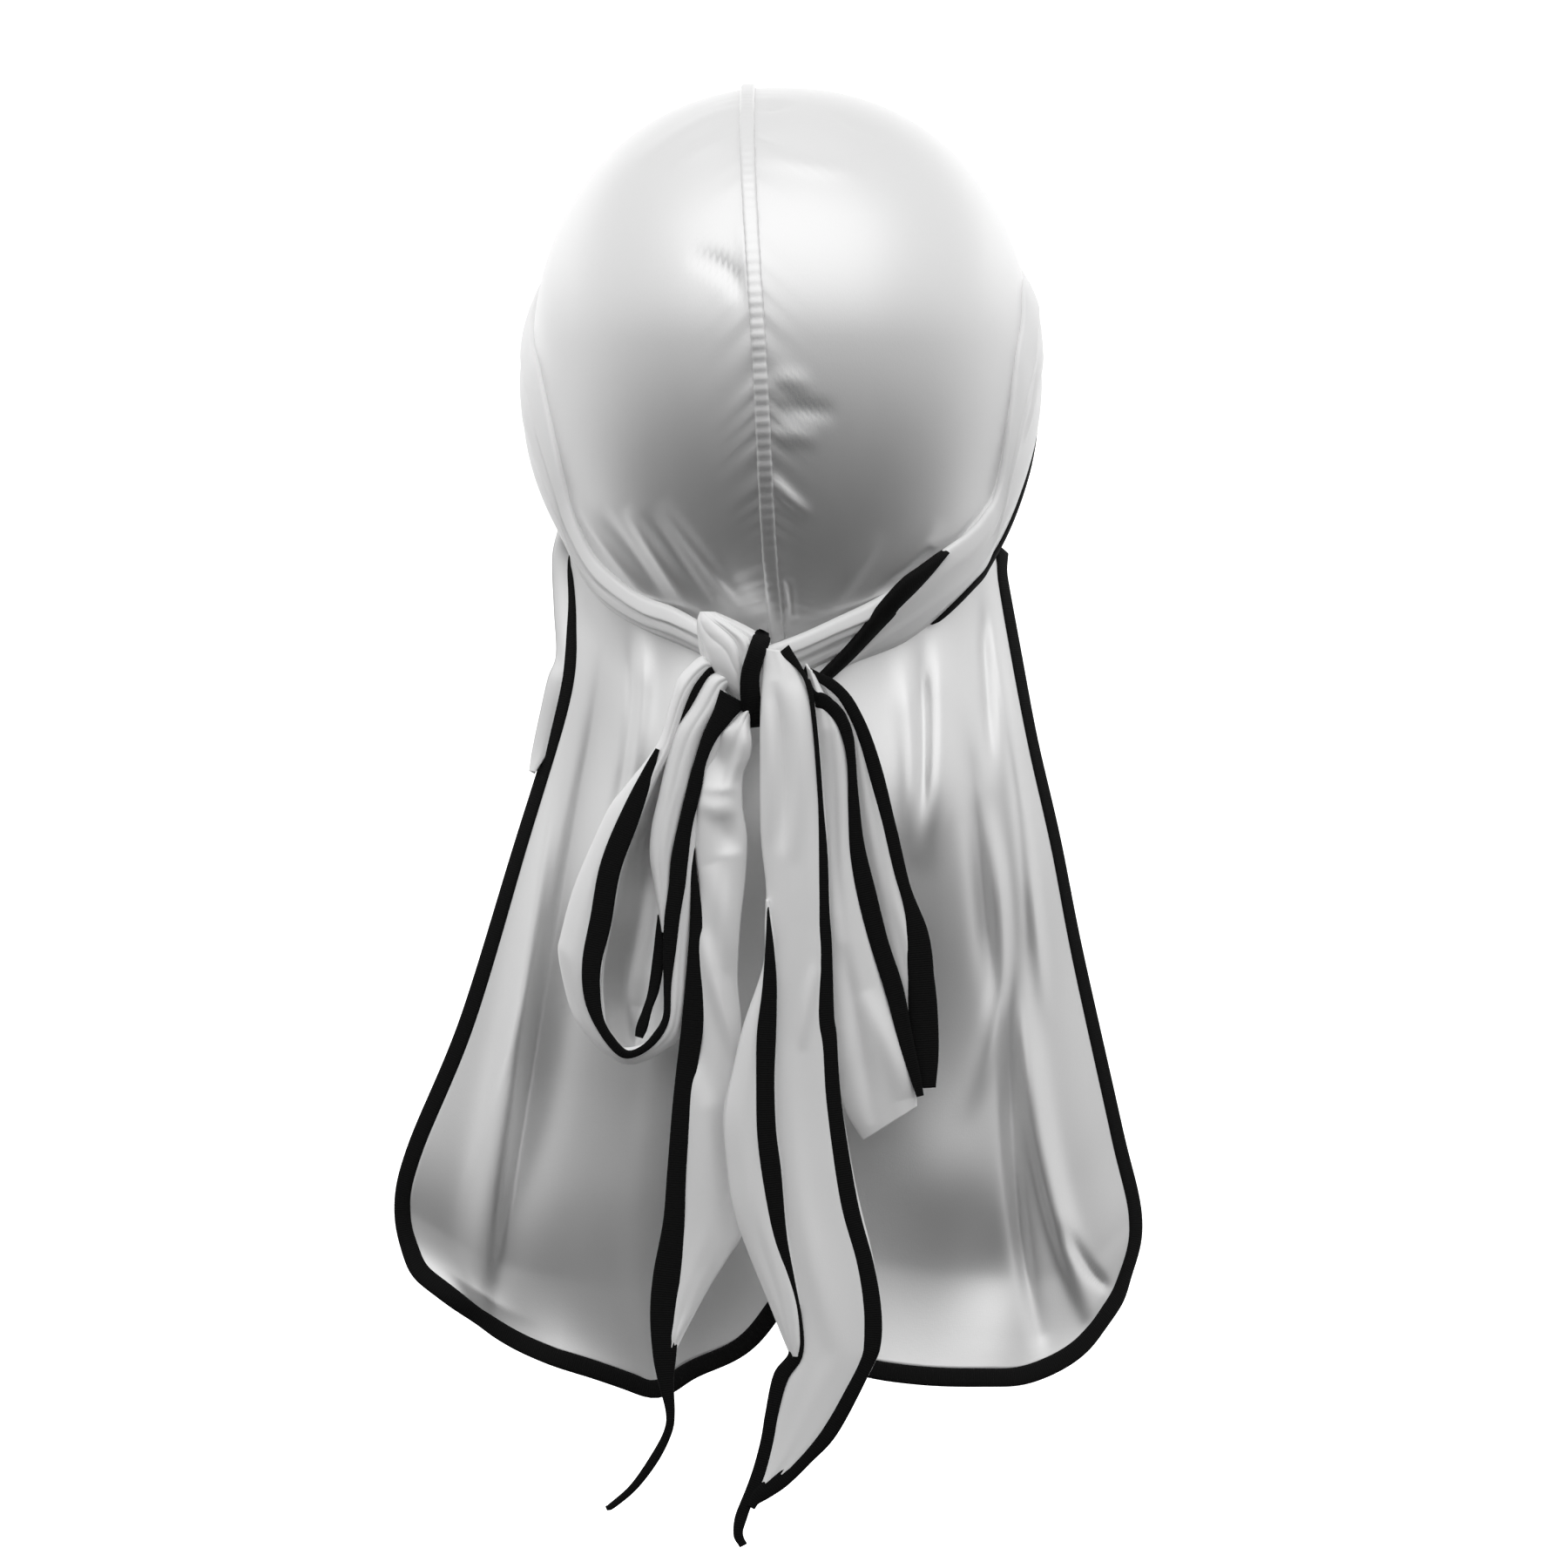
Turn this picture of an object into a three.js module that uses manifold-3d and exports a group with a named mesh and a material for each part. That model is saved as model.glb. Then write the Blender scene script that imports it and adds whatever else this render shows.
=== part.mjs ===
// A satin durag in its worn form: two cloth halves with a long flap, taped edges, straps tied in a bow.
// Frame: millimetres, +Z up, the face side towards +Y, the origin at the inside top of the crown.
import * as THREE from "three";
import { mergeVertices } from "three/addons/utils/BufferGeometryUtils.js";
import Module from "manifold-3d";

// Cap: the hollow's semi-axes about a centre that lies under the crown
const CAP_WIDTH = 158;
const CAP_FRONT = 90;
const CAP_BACK = 97;
const CROWN_HEIGHT = 86;
const NAPE_REACH = 130;
const HEAD_SQUARENESS = 2.15;

// Cloth, tape and the gaps between pieces
const CLOTH = 1.1;
const TAPE_THICKNESS = 1.6;
const TAPE_WIDTH = 4.8;
const CLEARANCE = 0.35;
const TAPE_GAP = 0.5;

// Centre seam
const SEAM_WIDTH = 4.4;
const SEAM_RISE = 1.5;
const SEAM_CROWN = 0.4;
const CAP_WRINKLE = 2.2;

// Flap, from behind the ears down to the hem
const FLAP_DROP = 255;
const FLAP_HALF_WIDTH = 117;
const FLAP_BACK_DEPTH = 78;
const FLAP_SIDE_DEPTH = 42;
const FOLD_DEPTH = 10;

// Straps on the head
const STRAP_WIDTH = 38;
const STRAP_THICKNESS = 2;
const STRAP_GAP = 0.7;
const STRAP_FOLD_THICKNESS = 1.2;

// Knot and bow
const KNOT_WIDTH = 27;
const KNOT_HEIGHT = 31;
const KNOT_THICKNESS = 17;
const BOW_DROP = 267;
const BOW_SPREAD = 53.5;
const BOW_LAYER = 2.4;

const centre = new THREE.Vector3(0, 0, -CROWN_HEIGHT);
const NAPE_LEVEL = CROWN_HEIGHT + 0.71 * NAPE_REACH;
const CAP_LIFT = CLOTH / 2;
const STRAP_LIFT = CLOTH + STRAP_GAP + STRAP_THICKNESS / 2;
const SEAM_LIFT = CLOTH + CLEARANCE + SEAM_RISE / 2;

// Rows of numbers become objects that are read by column name.
function table(names, rows) {
  const keys = names.split(" ");
  return rows.map((row) => Object.fromEntries(keys.map((key, i) => [key, row[i]])));
}

// The value of one column at a place along the table, by a smooth curve through the rows.
function track(rows, key) {
  const at = (i) => rows[THREE.MathUtils.clamp(i, 0, rows.length - 1)];
  const slope = (i) => (at(i + 1)[key] - at(i - 1)[key]) / (at(i + 1).at - at(i - 1).at);
  return (place) => {
    let i = rows.findIndex((row) => row.at > place) - 1;
    if (i < -1) i = rows.length - 2;
    i = THREE.MathUtils.clamp(i, 0, rows.length - 2);
    const span = at(i + 1).at - at(i).at;
    const t = (place - at(i).at) / span;
    const rise = at(i + 1)[key] - at(i)[key];
    const a = slope(i) * span - rise;
    const b = -slope(i + 1) * span + rise;
    return at(i)[key] + rise * t + t * (1 - t) * (a * (1 - t) + b * t);
  };
}

// Rows get an even place from 0 to 1, and each column becomes a function of the place.
function tracks(rows) {
  const placed = rows.map((row, i) => ({ at: i / (rows.length - 1), ...row }));
  const keys = Object.keys(rows[0]).filter((key) => key !== "at");
  return Object.fromEntries(keys.map((key) => [key, track(placed, key)]));
}

const shares = (count) => Array.from({ length: count + 1 }, (_, i) => i / count);

// Head form: the hollow's radius along a direction from the centre, and its outward normal.
function headRadius(d) {
  const x = Math.abs(d.x) / (CAP_WIDTH / 2);
  const y = Math.abs(d.y) / (d.y > 0 ? CAP_FRONT : CAP_BACK);
  const z = Math.abs(d.z) / (d.z > 0 ? CROWN_HEIGHT : NAPE_REACH);
  return (x ** HEAD_SQUARENESS + y ** HEAD_SQUARENESS + z ** HEAD_SQUARENESS) ** (-1 / HEAD_SQUARENESS);
}

function headPoint(direction, lift) {
  const d = direction.clone().normalize();
  const p = d.clone().multiplyScalar(headRadius(d));
  const axis = [CAP_WIDTH / 2, p.y > 0 ? CAP_FRONT : CAP_BACK, p.z > 0 ? CROWN_HEIGHT : NAPE_REACH];
  const steep = (v, a) => (Math.sign(v) * Math.abs(v / a) ** (HEAD_SQUARENESS - 1)) / a;
  const normal = new THREE.Vector3(steep(p.x, axis[0]), steep(p.y, axis[1]), steep(p.z, axis[2]));
  return p.addScaledVector(normal.normalize(), lift).add(centre);
}

// Direction to the head at a turn (degrees round from the back, + to the right) and a level below the crown.
function headDirection(turn, level) {
  const angle = THREE.MathUtils.degToRad(turn);
  const back = Math.cos(angle);
  const side = Math.sin(angle);
  const z = CROWN_HEIGHT - level * NAPE_LEVEL;
  const high = Math.abs(z) / (z > 0 ? CROWN_HEIGHT : NAPE_REACH);
  const x = Math.abs(side) / (CAP_WIDTH / 2);
  const y = Math.abs(back) / (back > 0 ? CAP_BACK : CAP_FRONT);
  const flat = (x ** HEAD_SQUARENESS + y ** HEAD_SQUARENESS) ** (-1 / HEAD_SQUARENESS);
  const reach = flat * (1 - high ** HEAD_SQUARENESS) ** (1 / HEAD_SQUARENESS);
  return new THREE.Vector3(side * reach, -back * reach, z).normalize();
}

function between(a, b, share) {
  const angle = a.angleTo(b);
  if (angle < 1e-6) return a.clone();
  const axis = new THREE.Vector3().crossVectors(a, b).normalize();
  return a.clone().applyAxisAngle(axis, angle * share);
}

// Cloth as a solid: a lattice of middle-surface points, thickened both ways.
function cloth(lattice, thickness) {
  const points = lattice.flat();
  const across = lattice[0].length;
  const quads = [];
  for (let i = 0; i + 1 < lattice.length; i++) {
    for (let j = 0; j + 1 < across; j++) {
      const a = i * across + j;
      quads.push([a, a + 1, a + across + 1, a + across]);
    }
  }
  const flatIndex = quads.flatMap(([a, b, c, d]) => {
    const even = points[a].distanceTo(points[c]) <= points[b].distanceTo(points[d]);
    return even ? [a, b, c, a, c, d] : [a, b, d, b, c, d];
  });
  let middle = new THREE.BufferGeometry();
  middle.setAttribute("position", new THREE.Float32BufferAttribute(points.flatMap((p) => p.toArray()), 3));
  middle.setIndex(flatIndex);
  middle = mergeVertices(middle, 1e-3);
  middle.computeVertexNormals();
  const index = [...middle.index.array];
  const count = middle.attributes.position.count;
  const positions = [];
  for (const sign of [1, -1]) {
    for (let i = 0; i < count; i++) {
      const p = new THREE.Vector3().fromBufferAttribute(middle.attributes.position, i);
      const n = new THREE.Vector3().fromBufferAttribute(middle.attributes.normal, i);
      positions.push(...p.addScaledVector(n, (sign * thickness) / 2).toArray());
    }
  }
  const faces = [];
  const edges = new Map();
  for (let i = 0; i < index.length; i += 3) {
    const [a, b, c] = index.slice(i, i + 3);
    if (a === b || b === c || a === c) continue;
    faces.push(a, b, c, c + count, b + count, a + count);
    for (const [from, to] of [[a, b], [b, c], [c, a]]) {
      if (!edges.delete(to + "," + from)) edges.set(from + "," + to, [from, to]);
    }
  }
  for (const [from, to] of edges.values()) {
    faces.push(from, from + count, to, to, from + count, to + count);
  }
  const solid = new THREE.BufferGeometry();
  solid.setAttribute("position", new THREE.Float32BufferAttribute(positions, 3));
  solid.setIndex(faces);
  return solid;
}

// A section without so much of its start and its end, as points spaced like the section's own.
function stretch(section, fromStart, fromEnd, count) {
  const lengths = [0];
  section.slice(1).forEach((p, i) => lengths.push(lengths[i] + p.distanceTo(section[i])));
  const last = section.length - 1;
  const placeOfLength = (want) => {
    const found = lengths.findIndex((length) => length > want);
    const i = THREE.MathUtils.clamp((found < 0 ? last : found) - 1, 0, last - 1);
    return Math.min(last, i + (want - lengths[i]) / (lengths[i + 1] - lengths[i]));
  };
  const first = placeOfLength(fromStart);
  const end = placeOfLength(Math.max(lengths[last] - fromEnd, fromStart + 0.1));
  return shares(count).map((share) => {
    const place = first + share * (end - first);
    const i = Math.min(Math.floor(place), last - 1);
    return section[i].clone().lerp(section[i + 1], place - i);
  });
}

// The tape's stretch at the start of a section; reversed sections give the other edge.
function tapeOf(section, width) {
  const lengths = section.slice(1).map((p, i) => p.distanceTo(section[i]));
  const total = lengths.reduce((sum, length) => sum + length, 0);
  return stretch(section, 0, total - width, 1);
}

const WHITE = { color: 0xeeeeee, roughness: 0.38, metalness: 0 };
const BLACK = { color: 0x101010, roughness: 0.85, metalness: 0 };
const durag = new THREE.Group();

function add(name, geometry, look) {
  const mesh = new THREE.Mesh(geometry, new THREE.MeshStandardMaterial(look));
  mesh.name = name;
  durag.add(mesh);
}

const wasm = await Module();
wasm.setup();

function solidOf(geometry) {
  const bare = geometry.clone();
  bare.deleteAttribute("normal");
  bare.deleteAttribute("uv");
  const merged = mergeVertices(bare, 1e-4);
  return new wasm.Manifold(
    new wasm.Mesh({
      numProp: 3,
      vertProperties: new Float32Array(merged.attributes.position.array),
      triVerts: new Uint32Array(merged.index.array),
    }),
  );
}

function geometryOf(solid) {
  const mesh = solid.getMesh();
  const geometry = new THREE.BufferGeometry();
  geometry.setAttribute("position", new THREE.BufferAttribute(new Float32Array(mesh.vertProperties), 3));
  geometry.setIndex(new THREE.BufferAttribute(new Uint32Array(mesh.triVerts), 1));
  return geometry;
}

// The largest body that stays when a solid is cut by others.
function cut(geometry, ...tools) {
  const left = tools.reduce((solid, tool) => solid.subtract(tool), solidOf(geometry));
  const bodies = left.decompose();
  bodies.sort((a, b) => b.volume() - a.volume());
  return geometryOf(bodies[0]);
}

// Cap panels

// The seam's line: its angle over the crown from the forehead, and its sideways drift.
const SEAM_LINE = tracks(table("angle side", [
  [27, -0.06],
  [70, -0.11],
  [97, -0.125],
  [140, -0.115],
  [185, -0.07],
  [214, -0.04],
  [231.5, -0.012],
]));

function seamDirection(place) {
  const angle = THREE.MathUtils.degToRad(SEAM_LINE.angle(place));
  return new THREE.Vector3(SEAM_LINE.side(place), Math.cos(angle), Math.sin(angle)).normalize();
}

// The cap's edge under the strap, from the temple to beside the knot.
const CAP_EDGE = tracks(table("turn level", [
  [140, 0.33],
  [116, 0.41],
  [96, 0.53],
  [80, 0.66],
  [68, 0.795],
  [56, 0.86],
  [46, 0.905],
  [36, 0.945],
]));

const CAP_ROWS = 24;
const CAP_COLUMNS = 9;
const FLAP_ROWS = 17;

// Share of the cap's edge, from the temple, at which the flap begins
const FLAP_START = 0.64;

// Wrinkles on the cap: each runs from one place to another in (along the seam, from seam to edge).
// They fade out beside the seam, under the strap and at the nape, each over a band of its own.
const WRINKLE_FADE = {
  seam: 0.02,
  seamBand: 0.06,
  strap: 0.74,
  strapBand: 0.12,
  nape: 0.97,
  napeBand: 0.08,
};
const DEEPEST_DENT = -0.4;
const CAP_WRINKLES = table("side along1 away1 along2 away2 width height", [
  [-1, 0.33, 0.1, 0.42, 0.5, 0.035, 0.6],
  [-1, 0.4, 0.08, 0.47, 0.4, 0.035, -0.5],
  [-1, 0.47, 0.07, 0.56, 0.16, 0.04, 0.8],
  [-1, 0.55, 0.2, 0.61, 0.1, 0.03, -0.7],
  [-1, 0.97, 0.25, 0.82, 0.45, 0.035, 0.7],
  [-1, 0.96, 0.4, 0.86, 0.62, 0.035, 0.6],
  [-1, 0.97, 0.08, 0.84, 0.22, 0.03, 0.5],
  [1, 0.36, 0.04, 0.35, 0.3, 0.03, -0.7],
  [1, 0.4, 0.04, 0.43, 0.4, 0.035, 0.7],
  [1, 0.45, 0.04, 0.47, 0.22, 0.03, -0.5],
  [1, 0.72, 0.05, 0.78, 0.3, 0.035, 0.6],
  [1, 0.97, 0.15, 0.88, 0.2, 0.03, 0.6],
  [1, 0.97, 0.5, 0.87, 0.6, 0.035, 0.5],
]);

function nearLine(x, y, x1, y1, x2, y2) {
  const t = ((x - x1) * (x2 - x1) + (y - y1) * (y2 - y1)) / ((x2 - x1) ** 2 + (y2 - y1) ** 2);
  const on = THREE.MathUtils.clamp(t, 0, 1);
  return Math.hypot(x - x1 - on * (x2 - x1), y - y1 - on * (y2 - y1));
}

function capWrinkle(side, along, away) {
  const fromSeam = (away - WRINKLE_FADE.seam) / WRINKLE_FADE.seamBand;
  const fromStrap = (WRINKLE_FADE.strap - away) / WRINKLE_FADE.strapBand;
  const fromNape = (WRINKLE_FADE.nape - along) / WRINKLE_FADE.napeBand;
  const fade = THREE.MathUtils.clamp(Math.min(fromSeam, fromStrap, fromNape), 0, 1);
  const sum = CAP_WRINKLES.filter((w) => w.side === side).reduce((total, w) => {
    const off = nearLine(along, away, w.along1, w.away1, w.along2, w.away2) / w.width;
    return total + w.height * Math.exp(-off * off);
  }, 0);
  return CAP_WRINKLE * fade * Math.max(sum, DEEPEST_DENT);
}

function capDirection(side, along, away) {
  const edge = headDirection(side * CAP_EDGE.turn(along), CAP_EDGE.level(along));
  return between(seamDirection(along), edge, away);
}

function capLattice(side) {
  return shares(CAP_ROWS).map((along) =>
    shares(CAP_COLUMNS).map((away) =>
      headPoint(capDirection(side, along, away), CAP_LIFT + capWrinkle(side, along, away)),
    ),
  );
}

// Flap

// The cloth's side edge and hem in the view from behind, as shares of the drop and of the half width.
const FLAP_SIDE = {
  [-1]: table("down out", [
    [0.04, 0.54],
    [0.1, 0.54],
    [0.18, 0.56],
    [0.36, 0.68],
    [0.58, 0.825],
    [0.74, 0.967],
    [0.815, 1],
    [0.88, 0.96],
  ]),
  1: table("down out", [
    [0.04, 0.575],
    [0.12, 0.605],
    [0.23, 0.65],
    [0.36, 0.715],
    [0.5, 0.775],
    [0.715, 0.878],
    [0.83, 0.93],
    [0.91, 0.885],
  ]),
};
const FLAP_HEM = {
  [-1]: table("down out", [
    [0.88, 0.96],
    [0.936, 0.777],
    [0.968, 0.62],
    [0.994, 0.42],
    [0.985, 0.26],
    [0.95, 0.11],
    [0.9, 0.01],
  ]),
  1: table("down out", [
    [0.91, 0.885],
    [0.965, 0.78],
    [0.988, 0.66],
    [0.995, 0.55],
    [0.991, 0.38],
    [0.96, 0.16],
    [0.9, 0.01],
  ]),
};

// Folds of the flap: a ridge (+) or hollow (-) down a line from its top place to its hem place.
const FOLD_ENDS = { before: 0.1, after: 0.15 };
const FLAP_FOLDS = table("side top hem from to width rise", [
  [-1, 0.93, 0.8, 0.1, 1, 0.07, 0.8],
  [-1, 0.8, 0.68, 0.2, 1, 0.07, -0.5],
  [-1, 0.66, 0.52, 0, 0.45, 0.08, 0.5],
  [-1, 0.45, 0.42, 0.3, 0.95, 0.2, -0.55],
  [-1, 0.36, 0.3, 0, 0.4, 0.07, 0.45],
  [-1, 0.2, 0.12, 0.1, 0.8, 0.09, -0.4],
  [1, 0.9, 0.86, 0.05, 0.8, 0.06, -0.6],
  [1, 0.8, 0.78, 0.05, 1, 0.07, 0.7],
  [1, 0.7, 0.66, 0.15, 1, 0.07, -0.6],
  [1, 0.5, 0.5, 0, 0.5, 0.1, 0.45],
  [1, 0.5, 0.4, 0.45, 1, 0.16, -0.6],
  [1, 0.3, 0.2, 0.1, 0.9, 0.1, 0.4],
]);

function flapFold(side, away, down) {
  return FLAP_FOLDS.filter((fold) => fold.side === side).reduce((sum, fold) => {
    const line = fold.top + (fold.hem - fold.top) * down;
    const off = (away - line) / fold.width;
    const onset = (place) =>
      THREE.MathUtils.smoothstep(down, place - FOLD_ENDS.before, place + FOLD_ENDS.after);
    return sum + fold.rise * Math.exp(-off * off) * onset(fold.from) * (1 - onset(fold.to));
  }, 0);
}

// Height where the flap's drop is counted from, which is the tape's top end behind the ear.
const FLAP_TOP = -0.84 * NAPE_LEVEL;

// The flap leaves the head a tuck below the strap's line, and hangs free of it within a share of the drop.
const FLAP_GAP = (2 * CLEARANCE) / NAPE_LEVEL;
const FLAP_TUCK = 0.035;
const HANG_FREE = 0.3;
const HANG_CURVE = 2.2;
const FOLD_START = 0.12;
const FOLD_AT_TOP = 0.35;

function flapEdge(rows) {
  const edge = tracks(rows);
  return (side, place) => ({
    x: side * edge.out(place) * FLAP_HALF_WIDTH,
    z: FLAP_TOP - edge.down(place) * FLAP_DROP,
  });
}

function flapLattice(side, top) {
  const first = top.map(({ turn, level }) => headPoint(headDirection(turn, level + FLAP_GAP), CAP_LIFT));
  const tuck = top.map(({ turn, level }) => headPoint(headDirection(turn, level + FLAP_TUCK), CAP_LIFT));
  const sideEdge = flapEdge(FLAP_SIDE[side]);
  const hemEdge = flapEdge(FLAP_HEM[side]);
  const last = tuck.length - 1;
  const corner = hemEdge(side, 0);
  const notch = hemEdge(side, 1);
  const rows = shares(FLAP_ROWS - 1).map((down) => {
    const edge = sideEdge(side, down);
    const seam = { x: tuck[last].x * (1 - down), z: tuck[last].z + (notch.z - tuck[last].z) * down };
    seam.x += notch.x * down;
    return tuck.map((start, j) => {
      const v = j / last;
      const hem = hemEdge(side, v);
      const x =
        (1 - v) * edge.x + v * seam.x + (1 - down) * start.x + down * hem.x -
        ((1 - v) * (1 - down) * tuck[0].x + v * (1 - down) * tuck[last].x +
          (1 - v) * down * corner.x + v * down * notch.x);
      const z =
        (1 - v) * edge.z + v * seam.z + (1 - down) * start.z + down * hem.z -
        ((1 - v) * (1 - down) * tuck[0].z + v * (1 - down) * tuck[last].z +
          (1 - v) * down * corner.z + v * down * notch.z);
      const away = 1 - v;
      const hang = -FLAP_BACK_DEPTH + (FLAP_BACK_DEPTH - FLAP_SIDE_DEPTH) * away ** HANG_CURVE;
      const free = THREE.MathUtils.smoothstep(down, 0, HANG_FREE);
      const y = start.y * (1 - free) + hang * free;
      const grown = FOLD_AT_TOP + (1 - FOLD_AT_TOP) * Math.min(1, down * 2);
      const depth = FOLD_DEPTH * grown * THREE.MathUtils.smoothstep(down, 0, FOLD_START);
      return new THREE.Vector3(x, y - depth * flapFold(side, away, down), z);
    });
  });
  return [first, ...rows];
}

// Where a direction meets the head, as a turn and a level.
function placeOf(direction) {
  const d = direction.clone().normalize();
  const p = d.clone().multiplyScalar(headRadius(d));
  return { turn: THREE.MathUtils.radToDeg(Math.atan2(p.x, -p.y)), level: (CROWN_HEIGHT - p.z) / NAPE_LEVEL };
}

// Normal of a lattice at one of its points.
function latticeNormal(lattice, i, j) {
  const last = lattice.length - 1;
  const end = lattice[0].length - 1;
  const a = lattice[Math.min(i + 1, last)][j].clone().sub(lattice[Math.max(i - 1, 0)][j]);
  const b = lattice[i][Math.min(j + 1, end)].clone().sub(lattice[i][Math.max(j - 1, 0)]);
  return b.cross(a).normalize();
}

// A tape that goes on from a cloth's edge, a small gap away: rows of its two long edges.
function edgeTape(edge, normals, side) {
  return edge.map((p, i) => {
    const before = edge[Math.max(i - 1, 0)];
    const after = edge[Math.min(i + 1, edge.length - 1)];
    const out = after.clone().sub(before).cross(normals[i]).multiplyScalar(side).normalize();
    const near = p.clone().addScaledVector(out, TAPE_GAP);
    return [near, p.clone().addScaledVector(out, TAPE_GAP + TAPE_WIDTH)];
  });
}

const mirrorRows = (lattice) => lattice.map((row) => [...row].reverse());
const seamPoints = [];
const frontEdge = {};

for (const [side, name] of [[-1, "left"], [1, "right"]]) {
  const cap = capLattice(side);
  const start = Math.round(FLAP_START * CAP_ROWS);
  const top = [];
  for (let i = start; i < CAP_ROWS; i++) top.push(placeOf(capDirection(side, i / CAP_ROWS, 1)));
  for (let j = CAP_COLUMNS; j >= 0; j--) top.push(placeOf(capDirection(side, 1, j / CAP_COLUMNS)));
  const flap = flapLattice(side, top);
  const shift = new THREE.Vector3((side * CLEARANCE) / 2, 0, 0);
  for (const p of [cap, flap].flat(2)) p.add(shift);
  add("cap_" + name, cloth(side > 0 ? mirrorRows(cap) : cap, CLOTH), WHITE);
  add("flap_" + name, cloth(side > 0 ? flap : mirrorRows(flap), CLOTH), WHITE);

  const last = flap.length - 1;
  const end = flap[0].length - 1;
  const edge = [];
  const normals = [];
  for (let i = 1; i <= last; i++) {
    edge.push(flap[i][0]);
    normals.push(latticeNormal(flap, i, 0));
  }
  for (let j = 1; j <= end; j++) {
    edge.push(flap[last][j]);
    normals.push(latticeNormal(flap, last, j));
  }
  const tape = edgeTape(edge, normals, -1);
  const [inner, outer] = tape[tape.length - 1];
  const reach = TAPE_WIDTH / Math.max(0.5, (inner.z - outer.z) / TAPE_WIDTH);
  inner.copy(edge[edge.length - 1]);
  inner.z -= CLEARANCE;
  outer.copy(inner);
  outer.z -= reach;
  add("flap_binding_" + name, cloth(side > 0 ? tape : mirrorRows(tape), TAPE_THICKNESS), BLACK);
  frontEdge[name] = cap[0].map((p) => p.clone());
  seamPoints.push([...cap.map((row) => row[0]), ...flap.slice(1).map((row) => row[end])]);
}

// Front binding: one tape along both halves' front edges, from temple to temple.
const front = [...frontEdge.left.slice(1).reverse(), ...frontEdge.right.slice(1)];
const frontNormals = front.map((p) => {
  const d = p.clone().sub(centre);
  return headPoint(d, 1).sub(headPoint(d, 0));
});
add("front_binding", cloth(mirrorRows(edgeTape(front, frontNormals, -1)), TAPE_THICKNESS), BLACK);

// Centre seam: a welt over the joint, from the front edge over the crown and down the flap to the notch.
const seam = seamPoints[0].map((p, i) => p.clone().add(seamPoints[1][i]).multiplyScalar(0.5));
const welt = seam.slice(0, -1).map((p, i) => {
  const along = seam[i + 1].clone().sub(seam[Math.max(i - 1, 0)]).normalize();
  const outward = new THREE.Vector3(1, 0, 0).cross(along).normalize();
  if (i <= CAP_ROWS) outward.multiplyScalar(Math.sign(outward.dot(p.clone().sub(centre))));
  else outward.multiplyScalar(-Math.sign(outward.y));
  const sideways = new THREE.Vector3().crossVectors(outward, along).normalize();
  const base = p.clone().addScaledVector(outward, SEAM_LIFT - CAP_LIFT);
  return [-0.5, 0, 0.5].map((share) => {
    const point = base.clone().addScaledVector(sideways, -share * SEAM_WIDTH);
    return point.addScaledVector(outward, share ? 0 : SEAM_CROWN);
  });
});
add("centre_seam", cloth(mirrorRows(welt), SEAM_RISE), WHITE);

// Knot: rings of a pleated wrap, from its top to its tip.
const BOW_TOP = -1.05 * NAPE_LEVEL;
const BOW_PLANE = -FLAP_BACK_DEPTH - 8;
const KNOT_MIDDLE = new THREE.Vector3(-0.079 * CAP_WIDTH, BOW_PLANE - 2, BOW_TOP);
const KNOT_RINGS = tracks(table("rise shift width depth", [
  [0.5, -0.16, 0.42, 0.6],
  [0.36, -0.08, 0.86, 0.9],
  [0.1, -0.02, 1, 1],
  [-0.14, 0.02, 0.84, 1],
  [-0.34, 0.06, 0.56, 0.82],
  [-0.5, 0.1, 0.26, 0.5],
]));
const KNOT_SIDES = 18;
const KNOT_STEPS = 7;
const PLEATS = 6;
const PLEAT_DEPTH = 0.07;
const PLEAT_TWIST = 3;

// Rings of points closed round and capped at both ends.
function loft(rings) {
  const sides = rings[0].length;
  const points = rings.flat();
  const index = [];
  for (let i = 0; i + 1 < rings.length; i++) {
    for (let j = 0; j < sides; j++) {
      const a = i * sides + j;
      const b = i * sides + ((j + 1) % sides);
      index.push(a, b, a + sides, b, b + sides, a + sides);
    }
  }
  for (const [ring, turn] of [[0, 1], [rings.length - 1, 0]]) {
    const middle = rings[ring].reduce((sum, p) => sum.add(p), new THREE.Vector3()).divideScalar(sides);
    const hub = points.push(middle) - 1;
    for (let j = 0; j < sides; j++) {
      const a = ring * sides + j;
      const b = ring * sides + ((j + 1) % sides);
      index.push(...(turn ? [hub, b, a] : [hub, a, b]));
    }
  }
  const solid = new THREE.BufferGeometry();
  solid.setAttribute("position", new THREE.Float32BufferAttribute(points.flatMap((p) => p.toArray()), 3));
  solid.setIndex(index);
  return solid;
}

// A point on the knot: the angle goes round from the left side (0) over the front (-90) to the right.
function knotPoint(place, angle, grown) {
  const pleat = 1 + PLEAT_DEPTH * Math.cos(PLEATS * angle + PLEAT_TWIST * place);
  const half = ((KNOT_RINGS.width(place) * KNOT_WIDTH) / 2) * pleat + grown;
  const deep = ((KNOT_RINGS.depth(place) * KNOT_THICKNESS) / 2) * pleat + grown;
  return new THREE.Vector3(
    KNOT_MIDDLE.x + KNOT_RINGS.shift(place) * KNOT_WIDTH - Math.cos(angle) * half,
    KNOT_MIDDLE.y + Math.sin(angle) * deep,
    KNOT_MIDDLE.z + KNOT_RINGS.rise(place) * (KNOT_HEIGHT + 2 * grown),
  );
}

function knotSolid(grown) {
  const angles = Array.from({ length: KNOT_SIDES }, (_, j) => (2 * Math.PI * j) / KNOT_SIDES);
  return loft(shares(KNOT_STEPS).map((place) => angles.map((angle) => knotPoint(place, angle, grown))));
}

add("knot", knotSolid(0), WHITE);

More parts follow.
